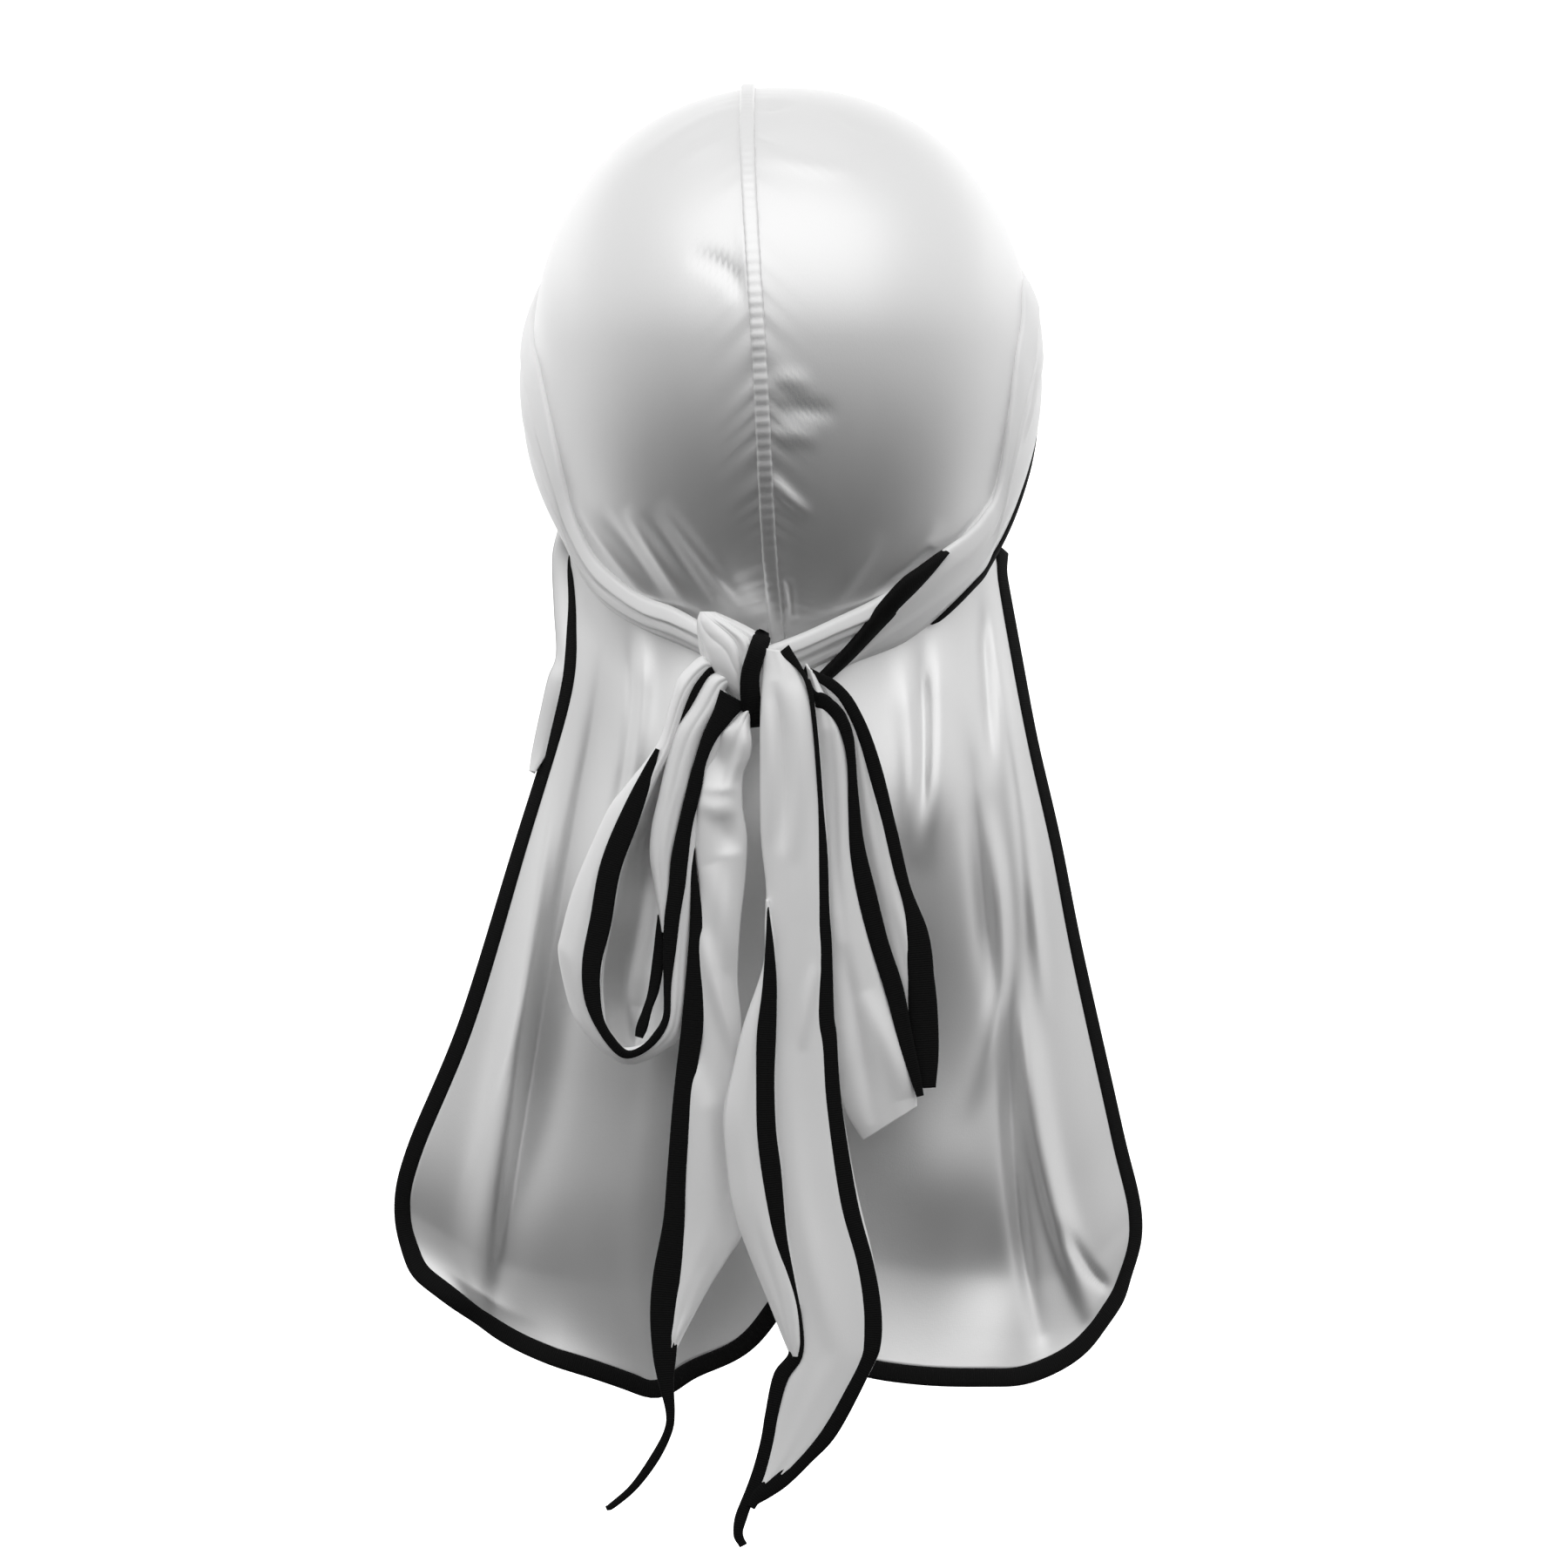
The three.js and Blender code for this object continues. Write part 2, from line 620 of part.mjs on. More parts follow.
// Knot binding: the strap's taped edge, wrapped over the knot's right part from its top to its tip.
const KNOT_BAND = tracks(table("place left right", [
  [0.06, -122, -165],
  [0.28, -113, -149],
  [0.52, -90, -120],
  [0.76, -72, -116],
  [0.97, -50, -135],
]));
const BAND_LIFT = CLEARANCE + TAPE_THICKNESS / 2 + 0.3;

function bandSolid(grown) {
  const wider = grown / (KNOT_WIDTH / 2);
  const longer = grown / KNOT_HEIGHT;
  const rows = shares(6).map((share) => {
    const place = KNOT_BAND.place(share) + (2 * share - 1) * longer;
    const left = THREE.MathUtils.degToRad(KNOT_BAND.left(share)) + wider;
    const right = THREE.MathUtils.degToRad(KNOT_BAND.right(share)) - wider;
    const angles = shares(3).map((across) => left + (right - left) * across);
    return angles.map((angle) => knotPoint(place, angle, BAND_LIFT));
  });
  return cloth(rows, TAPE_THICKNESS + 2 * grown);
}

const bareKnot = solidOf(knotSolid(CLEARANCE));
add("knot_binding", cut(bandSolid(0), bareKnot), BLACK);
const knotSpace = bareKnot.add(solidOf(bandSolid(CLEARANCE)));

// Straps on the head: a middle line by turn and level, a width, and a lift off the cap.
function strapSections(rows, steps, side, lift, profile) {
  const line = tracks(rows);
  const middle = (place) => headDirection(side * line.turn(place), line.level(place));
  return shares(steps).map((place) => {
    const here = headPoint(middle(place), lift);
    const step = 0.01;
    const before = headPoint(middle(place - step), lift);
    const along = headPoint(middle(place + step), lift).sub(before).normalize();
    const outward = here.clone().sub(centre).normalize();
    const up = new THREE.Vector3().crossVectors(outward, along).multiplyScalar(-side).normalize();
    return profile.map((fold, k) => {
      const share = 0.5 - k / (profile.length - 1);
      const p = here.clone().addScaledVector(up, share * line.width(place) * STRAP_WIDTH);
      return headPoint(p.sub(centre), lift + line.lift(place) * STRAP_THICKNESS + fold);
    });
  });
}

const STRAP_FOLDS = [0, 0.8, 0.1, 0.8, 0];
const STRAP_LEFT = table("turn level width lift", [
  [140, 0.29, 0.95, 0],
  [115, 0.37, 1, 0],
  [92, 0.485, 1, 0],
  [76, 0.615, 0.9, 0],
  [64, 0.735, 0.7, 0],
  [54, 0.83, 0.5, 0],
  [44, 0.89, 0.37, 0],
  [33, 0.94, 0.3, 0.3],
  [22, 0.972, 0.28, 1.4],
  [10, 0.99, 0.26, 4],
]);
const STRAP_RIGHT = table("turn level width lift", [
  [140, 0.29, 0.95, 0],
  [115, 0.37, 1, 0],
  [92, 0.475, 1, 0],
  [76, 0.6, 0.9, 0],
  [64, 0.72, 0.74, 0],
  [54, 0.815, 0.56, 0],
  [44, 0.87, 0.4, 0],
  [33, 0.915, 0.32, 0],
  [20, 0.965, 0.3, 0.6],
  [8, 0.995, 0.28, 2.2],
  [-6, 1.0, 0.28, 4],
]);
const STRAP_STEPS = 22;

const leftStrap = strapSections(STRAP_LEFT, STRAP_STEPS, -1, STRAP_LIFT, STRAP_FOLDS);
add("strap_left", cut(cloth(leftStrap, STRAP_THICKNESS), knotSpace), WHITE);

const rightStrap = strapSections(STRAP_RIGHT, STRAP_STEPS, 1, STRAP_LIFT, STRAP_FOLDS);
const rightCloth = mirrorRows(rightStrap.map((s) => stretch(s, 0, TAPE_WIDTH + CLEARANCE, 4)));
add("strap_right", cut(cloth(rightCloth, STRAP_THICKNESS), knotSpace), WHITE);
const rightTape = rightStrap.map((s) => tapeOf([...s].reverse(), TAPE_WIDTH));
add("strap_right_binding", cut(cloth(rightTape, TAPE_THICKNESS), knotSpace), BLACK);

// The right strap's turned-over part, with the tape of its free edge running down to the knot.
const STRAP_TURN = table("turn level width lift", [
  [58, 0.8, 0.17, 0],
  [50, 0.845, 0.27, 0],
  [42, 0.888, 0.32, 0],
  [33, 0.93, 0.31, 0],
  [24, 0.973, 0.25, 0.4],
  [15, 1.01, 0.2, 1.3],
  [7, 1.04, 0.17, 2.6],
]);
const STRAP_FOLD_RISE = 1;
const TURN_STEPS = 12;
const turnLift = STRAP_LIFT + (STRAP_THICKNESS + STRAP_FOLD_THICKNESS) / 2 + STRAP_FOLD_RISE + CLEARANCE;
const turned = strapSections(STRAP_TURN, TURN_STEPS, 1, turnLift, [0, 0.2, 0.2, 0]);
const turnedWide = turned.filter((s) => s[0].distanceTo(s[3]) > TAPE_WIDTH + 4 * CLEARANCE);
const turnedCloth = mirrorRows(turnedWide.map((s) => stretch(s, TAPE_WIDTH + CLEARANCE, 0, 2)));
add("strap_right_fold", cut(cloth(turnedCloth, STRAP_FOLD_THICKNESS), knotSpace), WHITE);
const turnedTape = mirrorRows(turned.map((s) => tapeOf(s, TAPE_WIDTH)));
add("strap_right_fold_binding", cut(cloth(turnedTape, TAPE_THICKNESS), knotSpace), BLACK);

// Bow: ribbons from the knot, placed by shares across and down from the knot and in layers off the flap
function bowPoint(across, down, near) {
  return new THREE.Vector3(across * BOW_SPREAD, BOW_PLANE - near * BOW_LAYER, BOW_TOP - down * BOW_DROP);
}

// A curled section: a smooth arch that starts, passes its middle and ends at the three points.
function section([start, middle, end]) {
  const control = middle.clone().multiplyScalar(2).sub(start.clone().lerp(end, 0.5));
  return new THREE.QuadraticBezierCurve3(start, control, end).getPoints(10);
}

// A cloth ribbon and the tapes of its edges. The start edge's tape may cover only part of the sections.
function ribbon(name, sections, columns, startTape, endTape, taped = sections) {
  const widthOf = (s) => s.slice(1).reduce((sum, p, i) => sum + p.distanceTo(s[i]), 0);
  const share = startTape && endTape ? 2 : 1;
  const tapeWidth = (s) => Math.min(TAPE_WIDTH, (widthOf(s) - 3 * CLEARANCE) / share);
  const reversed = (s) => [...s].reverse();
  const tapes = [];
  if (startTape) tapes.push([startTape, (grown) => taped.map((s) => tapeOf(s, tapeWidth(s) + grown))]);
  if (endTape) {
    const rows = (grown) => sections.map((s) => tapeOf(reversed(s), tapeWidth(s) + grown));
    tapes.push([endTape, (grown) => mirrorRows(rows(grown))]);
  }
  for (const [ending, rows] of tapes) {
    add(name + ending, cut(cloth(rows(0), TAPE_THICKNESS), knotSpace), BLACK);
  }
  const inset = (on) => (on ? TAPE_WIDTH + 2 * CLEARANCE : 0);
  const wide = sections.filter((s) => widthOf(s) > inset(startTape) + inset(endTape) + 2);
  const lattice = wide.map((s) => {
    const fromStart = inset(startTape && taped.includes(s));
    return stretch(s, fromStart, inset(endTape), columns);
  });
  const spaces = tapes.map(([, rows]) => {
    const grown = cloth(rows(CLEARANCE), TAPE_THICKNESS + 2 * CLEARANCE);
    return solidOf(grown);
  });
  add(name, cut(cloth(lattice, CLOTH), knotSpace, ...spaces), WHITE);
}

const LOOP_LEFT = tracks(table("across down frontIn backIn frontNear backNear", [
  [-0.36, 0.01, 0.02, 0.02, 3.8, 0.7],
  [-0.54, 0.022, 0.04, 0.06, 4, 0.7],
  [-0.69, 0.075, 0.09, 0.17, 4, 0.8],
  [-0.9, 0.13, 0.12, 0.28, 4, 0.7],
  [-1.085, 0.195, 0.14, 0.38, 4, 0.7],
  [-1.215, 0.26, 0.18, 0.43, 4, 0.7],
  [-1.275, 0.33, 0.19, 0.45, 4, 0.7],
  [-1.21, 0.39, 0.15, 0.3, 4, 0.7],
  [-1.04, 0.434, 0.1, 0.19, 4.2, 0.7],
  [-0.865, 0.45, 0.085, 0.17, 4.2, 0.7],
  [-0.69, 0.436, 0.085, 0.17, 4.2, 0.7],
  [-0.585, 0.4, 0.08, 0.17, 4, 0.7],
  [-0.56, 0.33, 0.085, 0.18, 4, 0.7],
  [-0.54, 0.25, 0.08, 0.17, 4, 0.7],
  [-0.505, 0.16, 0.08, 0.14, 4, 0.7],
  [-0.4, 0.08, 0.04, 0.05, 4, 0.7],
  [-0.27, 0.03, 0.01, 0.01, 4, 0.7],
]));
const loopSections = shares(28).map((place) => {
  const step = 0.01;
  const x = (at) => LOOP_LEFT.across(at) * BOW_SPREAD;
  const z = (at) => -LOOP_LEFT.down(at) * BOW_DROP;
  const before = Math.max(place - step, 0);
  const after = Math.min(place + step, 1);
  const inward = new THREE.Vector3(-(z(after) - z(before)), 0, x(after) - x(before)).normalize();
  const point = (share, near) => {
    const on = bowPoint(LOOP_LEFT.across(place), LOOP_LEFT.down(place), near);
    return on.addScaledVector(inward, share * BOW_SPREAD);
  };
  const front = LOOP_LEFT.frontNear(place);
  const back = LOOP_LEFT.backNear(place);
  return section([
    point(LOOP_LEFT.frontIn(place), front),
    point(0, (front + back) / 2),
    point(LOOP_LEFT.backIn(place), back),
  ]);
});
ribbon("bow_loop_left", loopSections, 4, "_front_binding", "_back_binding");

const LOOP_RIGHT = tracks(table("leftAcross leftDown rightAcross rightDown near", [
  [-0.06, 0, 0.16, 0.005, 1.7],
  [0.085, 0.08, 0.39, 0.075, 3],
  [0.135, 0.16, 0.45, 0.16, 3.4],
  [0.185, 0.26, 0.545, 0.262, 3.4],
  [0.235, 0.363, 0.7, 0.363, 3.4],
  [0.32, 0.465, 0.76, 0.43, 3.4],
  [0.42, 0.525, 0.8, 0.472, 3],
  [0.47, 0.537, 0.83, 0.486, 2.1],
  [0.5, 0.52, 0.865, 0.476, 1.2],
  [0.505, 0.46, 0.9, 0.43, 0.8],
  [0.435, 0.35, 0.87, 0.34, 0.8],
  [0.36, 0.23, 0.735, 0.24, 0.8],
  [0.26, 0.13, 0.59, 0.125, 0.8],
  [0.16, 0.05, 0.45, 0.05, 1],
  [-0.06, 0.005, 0.135, -0.002, 0.6],
]));
const rightSections = shares(29).map((place) => {
  const near = LOOP_RIGHT.near(place);
  const left = bowPoint(LOOP_RIGHT.leftAcross(place), LOOP_RIGHT.leftDown(place), near);
  const right = bowPoint(LOOP_RIGHT.rightAcross(place), LOOP_RIGHT.rightDown(place), near);
  return section([left, left.clone().lerp(right, 0.5), right]);
});
ribbon("bow_loop_right", rightSections, 3, "", "_binding");

const TAIL_LEFT = tracks(table("down edge fold edgeNear foldNear", [
  [0.02, -0.24, -0.19, 3, 2.6],
  [0.06, -0.3, -0.18, 4.4, 3],
  [0.106, -0.465, -0.205, 5.2, 3],
  [0.164, -0.5, -0.235, 5.4, 3],
  [0.216, -0.495, -0.225, 5.4, 3],
  [0.293, -0.53, -0.255, 5.4, 3],
  [0.416, -0.585, -0.28, 5, 3],
  [0.485, -0.625, -0.26, 4.6, 3],
  [0.57, -0.66, -0.24, 4.2, 3],
  [0.645, -0.705, -0.245, 4, 3],
  [0.69, -0.74, -0.38, 3.8, 3],
  [0.736, -0.76, -0.505, 3.6, 3],
  [0.79, -0.74, -0.61, 3.4, 3],
  [0.848, -0.67, -0.615, 3.2, 3],
  [0.89, -0.71, -0.665, 3, 3],
  [0.925, -0.81, -0.77, 3, 3],
  [0.955, -1, -0.965, 3, 3],
]));
const tailSections = shares(32).map((place) => {
  const down = TAIL_LEFT.down(place);
  const edge = bowPoint(TAIL_LEFT.edge(place), down, TAIL_LEFT.edgeNear(place));
  const fold = bowPoint(TAIL_LEFT.fold(place), down, TAIL_LEFT.foldNear(place));
  const middle = edge.clone().lerp(fold, 0.5);
  middle.y += 0.6 * BOW_LAYER * Math.sin(Math.PI * Math.min(1, place * 1.5));
  return section([edge, middle, fold]);
});
ribbon("tail_left", tailSections, 3, "_binding", "");

const TAIL_CENTRE = tracks(table("down edge fold right edgeNear foldNear rightNear", [
  [0, 0, -0.1, 0.085, 2.6, 4.2, 3.8],
  [0.03, 0.04, -0.12, 0.175, 3.4, 5.4, 4.8],
  [0.1, 0.05, -0.125, 0.2, 4.2, 6.2, 5.2],
  [0.19, 0.02, -0.12, 0.255, 4.6, 6.4, 5.2],
  [0.27, -0.11, 0.04, 0.275, 6.4, 5.9, 5.2],
  [0.33, -0.05, -0.11, 0.285, 7.4, 6.4, 5.2],
  [0.4, -0.045, -0.215, 0.29, 7.6, 6.4, 5.2],
  [0.47, -0.045, -0.3, 0.31, 7.6, 6.4, 5.2],
  [0.52, -0.035, -0.335, 0.345, 7.6, 6.4, 5.2],
  [0.57, -0.005, -0.31, 0.39, 7.6, 6.4, 5.2],
  [0.62, 0.03, -0.265, 0.45, 7.4, 6.2, 5],
  [0.665, 0.045, -0.19, 0.505, 7.2, 6, 5],
  [0.715, 0.08, -0.085, 0.56, 6.8, 5.8, 5],
  [0.765, 0.125, 0.03, 0.565, 6.8, 5.7, 5],
  [0.785, 0.125, 0.03, 0.54, 6.8, 5.6, 5],
  [0.805, 0.07, -0.05, 0.48, 6.6, 5.6, 5],
  [0.85, -0.01, -0.105, 0.39, 6.4, 5.6, 5],
  [0.89, -0.04, -0.125, 0.22, 6.2, 5.6, 5],
  [0.93, -0.08, -0.165, 0.03, 6.4, 5.7, 5],
  [0.955, -0.15, -0.215, -0.12, 6.6, 5.8, 5],
  [0.98, -0.25, -0.27, -0.23, 6, 5.5, 5],
  [1, -0.235, -0.275, -0.19, 6, 5.5, 5],
]));
const centreSections = shares(36).map((place) => {
  const down = TAIL_CENTRE.down(place);
  return section([
    bowPoint(TAIL_CENTRE.edge(place), down, TAIL_CENTRE.edgeNear(place)),
    bowPoint(TAIL_CENTRE.fold(place), down, TAIL_CENTRE.foldNear(place)),
    bowPoint(TAIL_CENTRE.right(place), down, TAIL_CENTRE.rightNear(place)),
  ]);
});
const LEFT_TAPE = { from: 0.32, to: 0.96 };
const turnedOver = centreSections.filter((s) => {
  const down = (BOW_TOP - s[0].z) / BOW_DROP;
  return down > LEFT_TAPE.from && down < LEFT_TAPE.to;
});
ribbon("tail_centre", centreSections, 5, "_left_binding", "_right_binding", turnedOver);

export default durag;
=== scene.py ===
"""A white satin durag as it is worn, seen from behind: cap, long flap, ties, knot and bow, with black taped edges."""

from math import atan, pi

import bmesh
import bpy
import numpy as np
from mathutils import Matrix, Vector


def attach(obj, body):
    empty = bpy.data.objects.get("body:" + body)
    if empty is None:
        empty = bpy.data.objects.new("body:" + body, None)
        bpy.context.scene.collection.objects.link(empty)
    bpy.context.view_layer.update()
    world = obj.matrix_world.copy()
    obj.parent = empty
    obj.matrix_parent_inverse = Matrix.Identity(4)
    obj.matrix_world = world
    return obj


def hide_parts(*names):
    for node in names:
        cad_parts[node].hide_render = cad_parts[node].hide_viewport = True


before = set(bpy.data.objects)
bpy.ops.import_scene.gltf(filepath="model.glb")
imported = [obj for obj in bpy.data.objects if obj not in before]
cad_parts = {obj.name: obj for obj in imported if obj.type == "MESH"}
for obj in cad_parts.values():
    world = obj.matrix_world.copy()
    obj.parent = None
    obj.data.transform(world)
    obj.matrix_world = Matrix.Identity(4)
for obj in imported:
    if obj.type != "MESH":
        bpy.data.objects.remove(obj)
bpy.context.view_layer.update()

# Cap: two halves of white satin, sewn together over the crown and stretched over the head.
# The cloth is tight on the crown, puckers along the seam and gathers towards the knot at the nape.

MM = 0.001
HALF_WIDTH, FRONT, BACK, CROWN, NAPE = 79.0, 90.0, 97.0, 86.0, 130.0
SQUARENESS = 2.15
NAPE_LEVEL = CROWN + 0.71 * NAPE
CAP_LIFT = 0.6
CAP_ROWS, CAP_COLUMNS = 180, 68
FLAP_START = 0.64
SATIN_WALL = 0.8
centre = np.array([0.0, 0.0, -CROWN])


def unit(v):
    """Vectors of length 1: each one divided by its own length."""
    return v / np.maximum(np.linalg.norm(v, axis=-1, keepdims=True), 1e-9)


def through(rows, place):
    """Smooth curve through evenly placed rows: a cubic between two rows, whose slope at a row is half the step from the
    row before to the row after."""
    rows = np.asarray(rows, float)
    at = np.clip(place, 0, 1) * (len(rows) - 1)
    i = np.minimum(at.astype(int), len(rows) - 2)
    t = (at - i)[..., None]
    slope = np.gradient(rows, axis=0)
    rise = (3 - 2 * t) * t**2
    first = rows[i] * (1 - rise) + rows[i + 1] * rise
    return first + t * (1 - t) * ((1 - t) * slope[i] - t * slope[i + 1])


def head_axes(d):
    """Semi-axes of the eighth of the head form that each direction points into."""
    wide = np.full(d.shape[:-1], HALF_WIDTH)
    return np.stack([wide, np.where(d[..., 1] > 0, FRONT, BACK), np.where(d[..., 2] > 0, CROWN, NAPE)], -1)


def head_point(d, lift=0.0):
    """Superellipsoid: a direction's length r makes the sum of |r d / semi-axis| ^ squareness equal 1.
    The point then moves out by lift along the gradient of that sum."""
    d = unit(d)
    axes = head_axes(d)
    r = ((np.abs(d) / axes) ** SQUARENESS).sum(-1) ** (-1 / SQUARENESS)
    p = d * r[..., None]
    normal = unit(np.sign(p) * (np.abs(p) / axes) ** (SQUARENESS - 1) / axes)
    return p + normal * np.asarray(lift)[..., None] + centre


def head_direction(turn, level):
    """Direction to the head form at a turn (degrees from the back, + to the right) and a share of the nape's level."""
    angle = np.radians(turn)
    z = CROWN - level * NAPE_LEVEL
    high = np.abs(z) / np.where(z > 0, CROWN, NAPE)
    side, back = np.sin(angle), np.cos(angle)
    flat = (np.abs(side) / HALF_WIDTH) ** SQUARENESS + (np.abs(back) / np.where(back > 0, BACK, FRONT)) ** SQUARENESS
    reach = ((1 - high**SQUARENESS) / flat) ** (1 / SQUARENESS)
    return unit(np.stack([side * reach, -back * reach, z], -1))


def between(a, b, share):
    """Directions a share of the way from a to b round the arc that joins them."""
    angle = np.arccos(np.clip((a * b).sum(-1), -1, 1))[..., None]
    share = share[..., None]
    return (a * np.sin((1 - share) * angle) + b * np.sin(share * angle)) / np.maximum(np.sin(angle), 1e-6)


SEAM_LINE = [
    (27, -0.06), (70, -0.11), (97, -0.125), (140, -0.115), (185, -0.07), (214, -0.04), (231.5, -0.012),
]
CAP_EDGE = [
    (140, 0.33), (116, 0.41), (96, 0.53), (80, 0.66), (68, 0.795), (56, 0.86), (46, 0.905), (36, 0.945),
]

# Creases in the back view, as a bent line of three places (x, z), a half width and a height, in millimetres.
CAP_CREASES = [
    (-12.8, -8, -28.9, -17.4, -47.6, -29.4, 3, 0.5),
    (-14.2, -15.5, -28.9, -22.7, -43.6, -33.4, 2.2, -0.35),
    (-14.2, -21.4, -24.9, -24.1, -36.9, -29.4, 2.6, 0.5),
    (-29.4, -59.4, -17.6, -63.6, -12.3, -73.5, 2.4, -1),
    (-12.8, -49.5, -9.6, -61.5, -9.6, -74.9, 2.4, 0.9),
    (-9.6, -11, -3.5, -9.9, 2.7, -9.1, 1.6, -0.8),
    (-9.6, -21.4, -4.3, -22.2, 0.5, -23.5, 1.3, -0.5),
    (-9.6, -25.4, 7.2, -30.8, 24.6, -31.6, 2.2, 0.5),
    (15.2, -12, 23.3, -17.4, 29.9, -18.7, 1.6, -0.4),
    (-9.6, -47.6, -7.5, -48.1, -3.7, -48.9, 1.2, -0.4),
    (-4.8, -98.9, 1.9, -98.1, 9.1, -99.5, 2.4, 0.3),
    (-2.7, -107, 7.2, -107, 17.1, -108, 2.4, -0.35),
    (-4.8, -115, 3.2, -115, 11.8, -116.1, 2.4, 0.3),
    (-3.5, -127, 1.9, -133.7, 9.1, -139.6, 1.9, 0.6),
    (-40.9, -164.2, -53.5, -148.4, -66.9, -129.7, 2, 0.8),
    (-34.8, -165.8, -45.7, -151.1, -57, -135, 1.8, -0.5),
    (-28.3, -166.9, -38.2, -151.1, -48.1, -135.8, 2, 0.8),
    (-19.5, -169, -31, -153.8, -42.2, -136.4, 1.8, -0.5),
    (-10.2, -169.5, -23.5, -152.4, -37.4, -134.5, 2.2, 0.7),
    (-1.3, -172.7, -2.1, -163.1, -3.7, -152.4, 1.4, 0.7),
    (0.8, -172.7, 0.3, -165.8, -0.5, -156.4, 1, -0.5),
    (2.9, -172.7, 2.9, -165.8, 1.9, -156.4, 1.4, 0.6),
    (15.2, -166.9, 23.3, -155.1, 30.5, -143.9, 2.2, 0.4),
    (29.9, -163.1, 39.3, -152.4, 48.7, -139, 2.2, 0.4),
]


def creases(points, rows):
    """Sum of ridges and hollows: height times exp(-(distance / half width) ^ 2) from each bent line, less at its ends.
    The distance is in the back view, to the nearest of twelve straight bits of a quadratic curve."""
    flat = points[..., [0, 2]]
    total = np.zeros(flat.shape[:-1])
    t = np.linspace(0, 1, 13)[:, None]
    for x1, z1, xm, zm, x2, z2, half, height in rows:
        start, end = np.array([x1, z1]), np.array([x2, z2])
        bend = 2 * np.array([xm, zm]) - (start + end) / 2
        line = (1 - t) ** 2 * start + 2 * t * (1 - t) * bend + t**2 * end
        best = np.full(total.shape, 1e9)
        place = np.zeros(total.shape)
        for k in range(12):
            step = line[k + 1] - line[k]
            on = np.clip(((flat - line[k]) @ step) / (step @ step), 0, 1)
            off = np.linalg.norm(flat - line[k] - on[..., None] * step, axis=-1)
            near = off < best
            best = np.where(near, off, best)
            place = np.where(near, (k + on) / 12, place)
        fade = 1 - (2 * place - 1) ** 2
        total += height * fade * np.exp(-((best / half) ** 2))
    return total


def surface(name, grid, finish, wall=0.0):
    """Mesh of four-sided faces through a grid of points (rows x columns x 3, millimetres). Its UV map is in metres of
    cloth."""
    rows, columns = grid.shape[:2]
    corner = (np.arange(rows - 1)[:, None] * columns + np.arange(columns - 1)).ravel()
    faces = np.stack([corner, corner + 1, corner + columns + 1, corner + columns], -1)
    along = np.linalg.norm(np.diff(grid, axis=0), axis=-1).mean(1)
    across = np.linalg.norm(np.diff(grid, axis=1), axis=-1).mean(0)
    v = np.concatenate([[0], np.cumsum(along)])
    u = np.concatenate([[0], np.cumsum(across)])
    uv = np.stack(np.broadcast_arrays(u[None, :], v[:, None]), -1).reshape(-1, 2) * MM
    return piece_of(name, grid.reshape(-1, 3), faces, uv, finish, wall)


def piece_of(name, points, faces, uv, finish, wall=0.0):
    """Object at the origin from points in millimetres, faces and one UV place for each point."""
    mesh = bpy.data.meshes.new(name)
    mesh.from_pydata((points * MM).tolist(), [], faces.tolist())
    mesh.polygons.foreach_set("use_smooth", np.ones(len(faces), bool))
    layer = mesh.uv_layers.new(name="cloth")
    layer.data.foreach_set("uv", uv[faces.ravel()].ravel())
    mesh.materials.append(finish)
    piece = bpy.data.objects.new(name, mesh)
    bpy.context.scene.collection.objects.link(piece)
    if wall:
        solid = piece.modifiers.new("wall", "SOLIDIFY")
        solid.thickness = wall * MM
        solid.offset = 0
    return piece


def fasten(piece, node):
    """The piece rides on the one body and stands for a node of the solids, whose own part is hidden."""
    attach(piece, "root")
    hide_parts(node)


class Value:
    """A shader socket that is used like a number: each operator adds its Math node."""

    def __init__(self, finish, socket):
        self.finish = finish
        self.socket = socket

    def math(self, operation, first, second):
        return self.finish.node("ShaderNodeMath", {"operation": operation}, {0: first, 1: second})

    def __add__(self, other):
        return self.math("ADD", self, other)

    def __radd__(self, other):
        return self.math("ADD", other, self)

    def __sub__(self, other):
        return self.math("SUBTRACT", self, other)

    def __rsub__(self, other):
        return self.math("SUBTRACT", other, self)

    def __mul__(self, other):
        return self.math("MULTIPLY", self, other)

    def __rmul__(self, other):
        return self.math("MULTIPLY", other, self)

    def __truediv__(self, other):
        return self.math("DIVIDE", self, other)

    def __pow__(self, other):
        return self.math("POWER", self, other)


class Finish:
    """A material, with one method that adds a node from its type, its settings and its inputs."""

    def __init__(self, name):
        self.material = bpy.data.materials.new(name)
        self.material.use_nodes = True
        self.tree = self.material.node_tree
        self.tree.nodes.clear()

    def node(self, kind, settings=None, inputs=None, output=0):
        node = self.tree.nodes.new(kind)
        for key, value in (settings or {}).items():
            if key == "stops":
                ramp = node.color_ramp.elements
                while len(ramp) < len(value):
                    ramp.new(1.0)
                for stop, (place, tone) in zip(ramp, value):
                    stop.position = place
                    stop.color = (tone, tone, tone, 1)
            else:
                setattr(node, key, value)
        for key, value in (inputs or {}).items():
            if isinstance(value, Value):
                self.tree.links.new(value.socket, node.inputs[key])
            else:
                node.inputs[key].default_value = value
        return Value(self, node.outputs[output])

    def scaled(self, vector, scale):
        return self.node("ShaderNodeVectorMath", {"operation": "MULTIPLY"}, {0: vector, 1: scale})

    def surface(self, inputs):
        shader = self.node("ShaderNodeBsdfPrincipled", inputs=inputs)
        output = self.tree.nodes.new("ShaderNodeOutputMaterial")
        self.tree.links.new(shader.socket, output.inputs["Surface"])
        return self.material


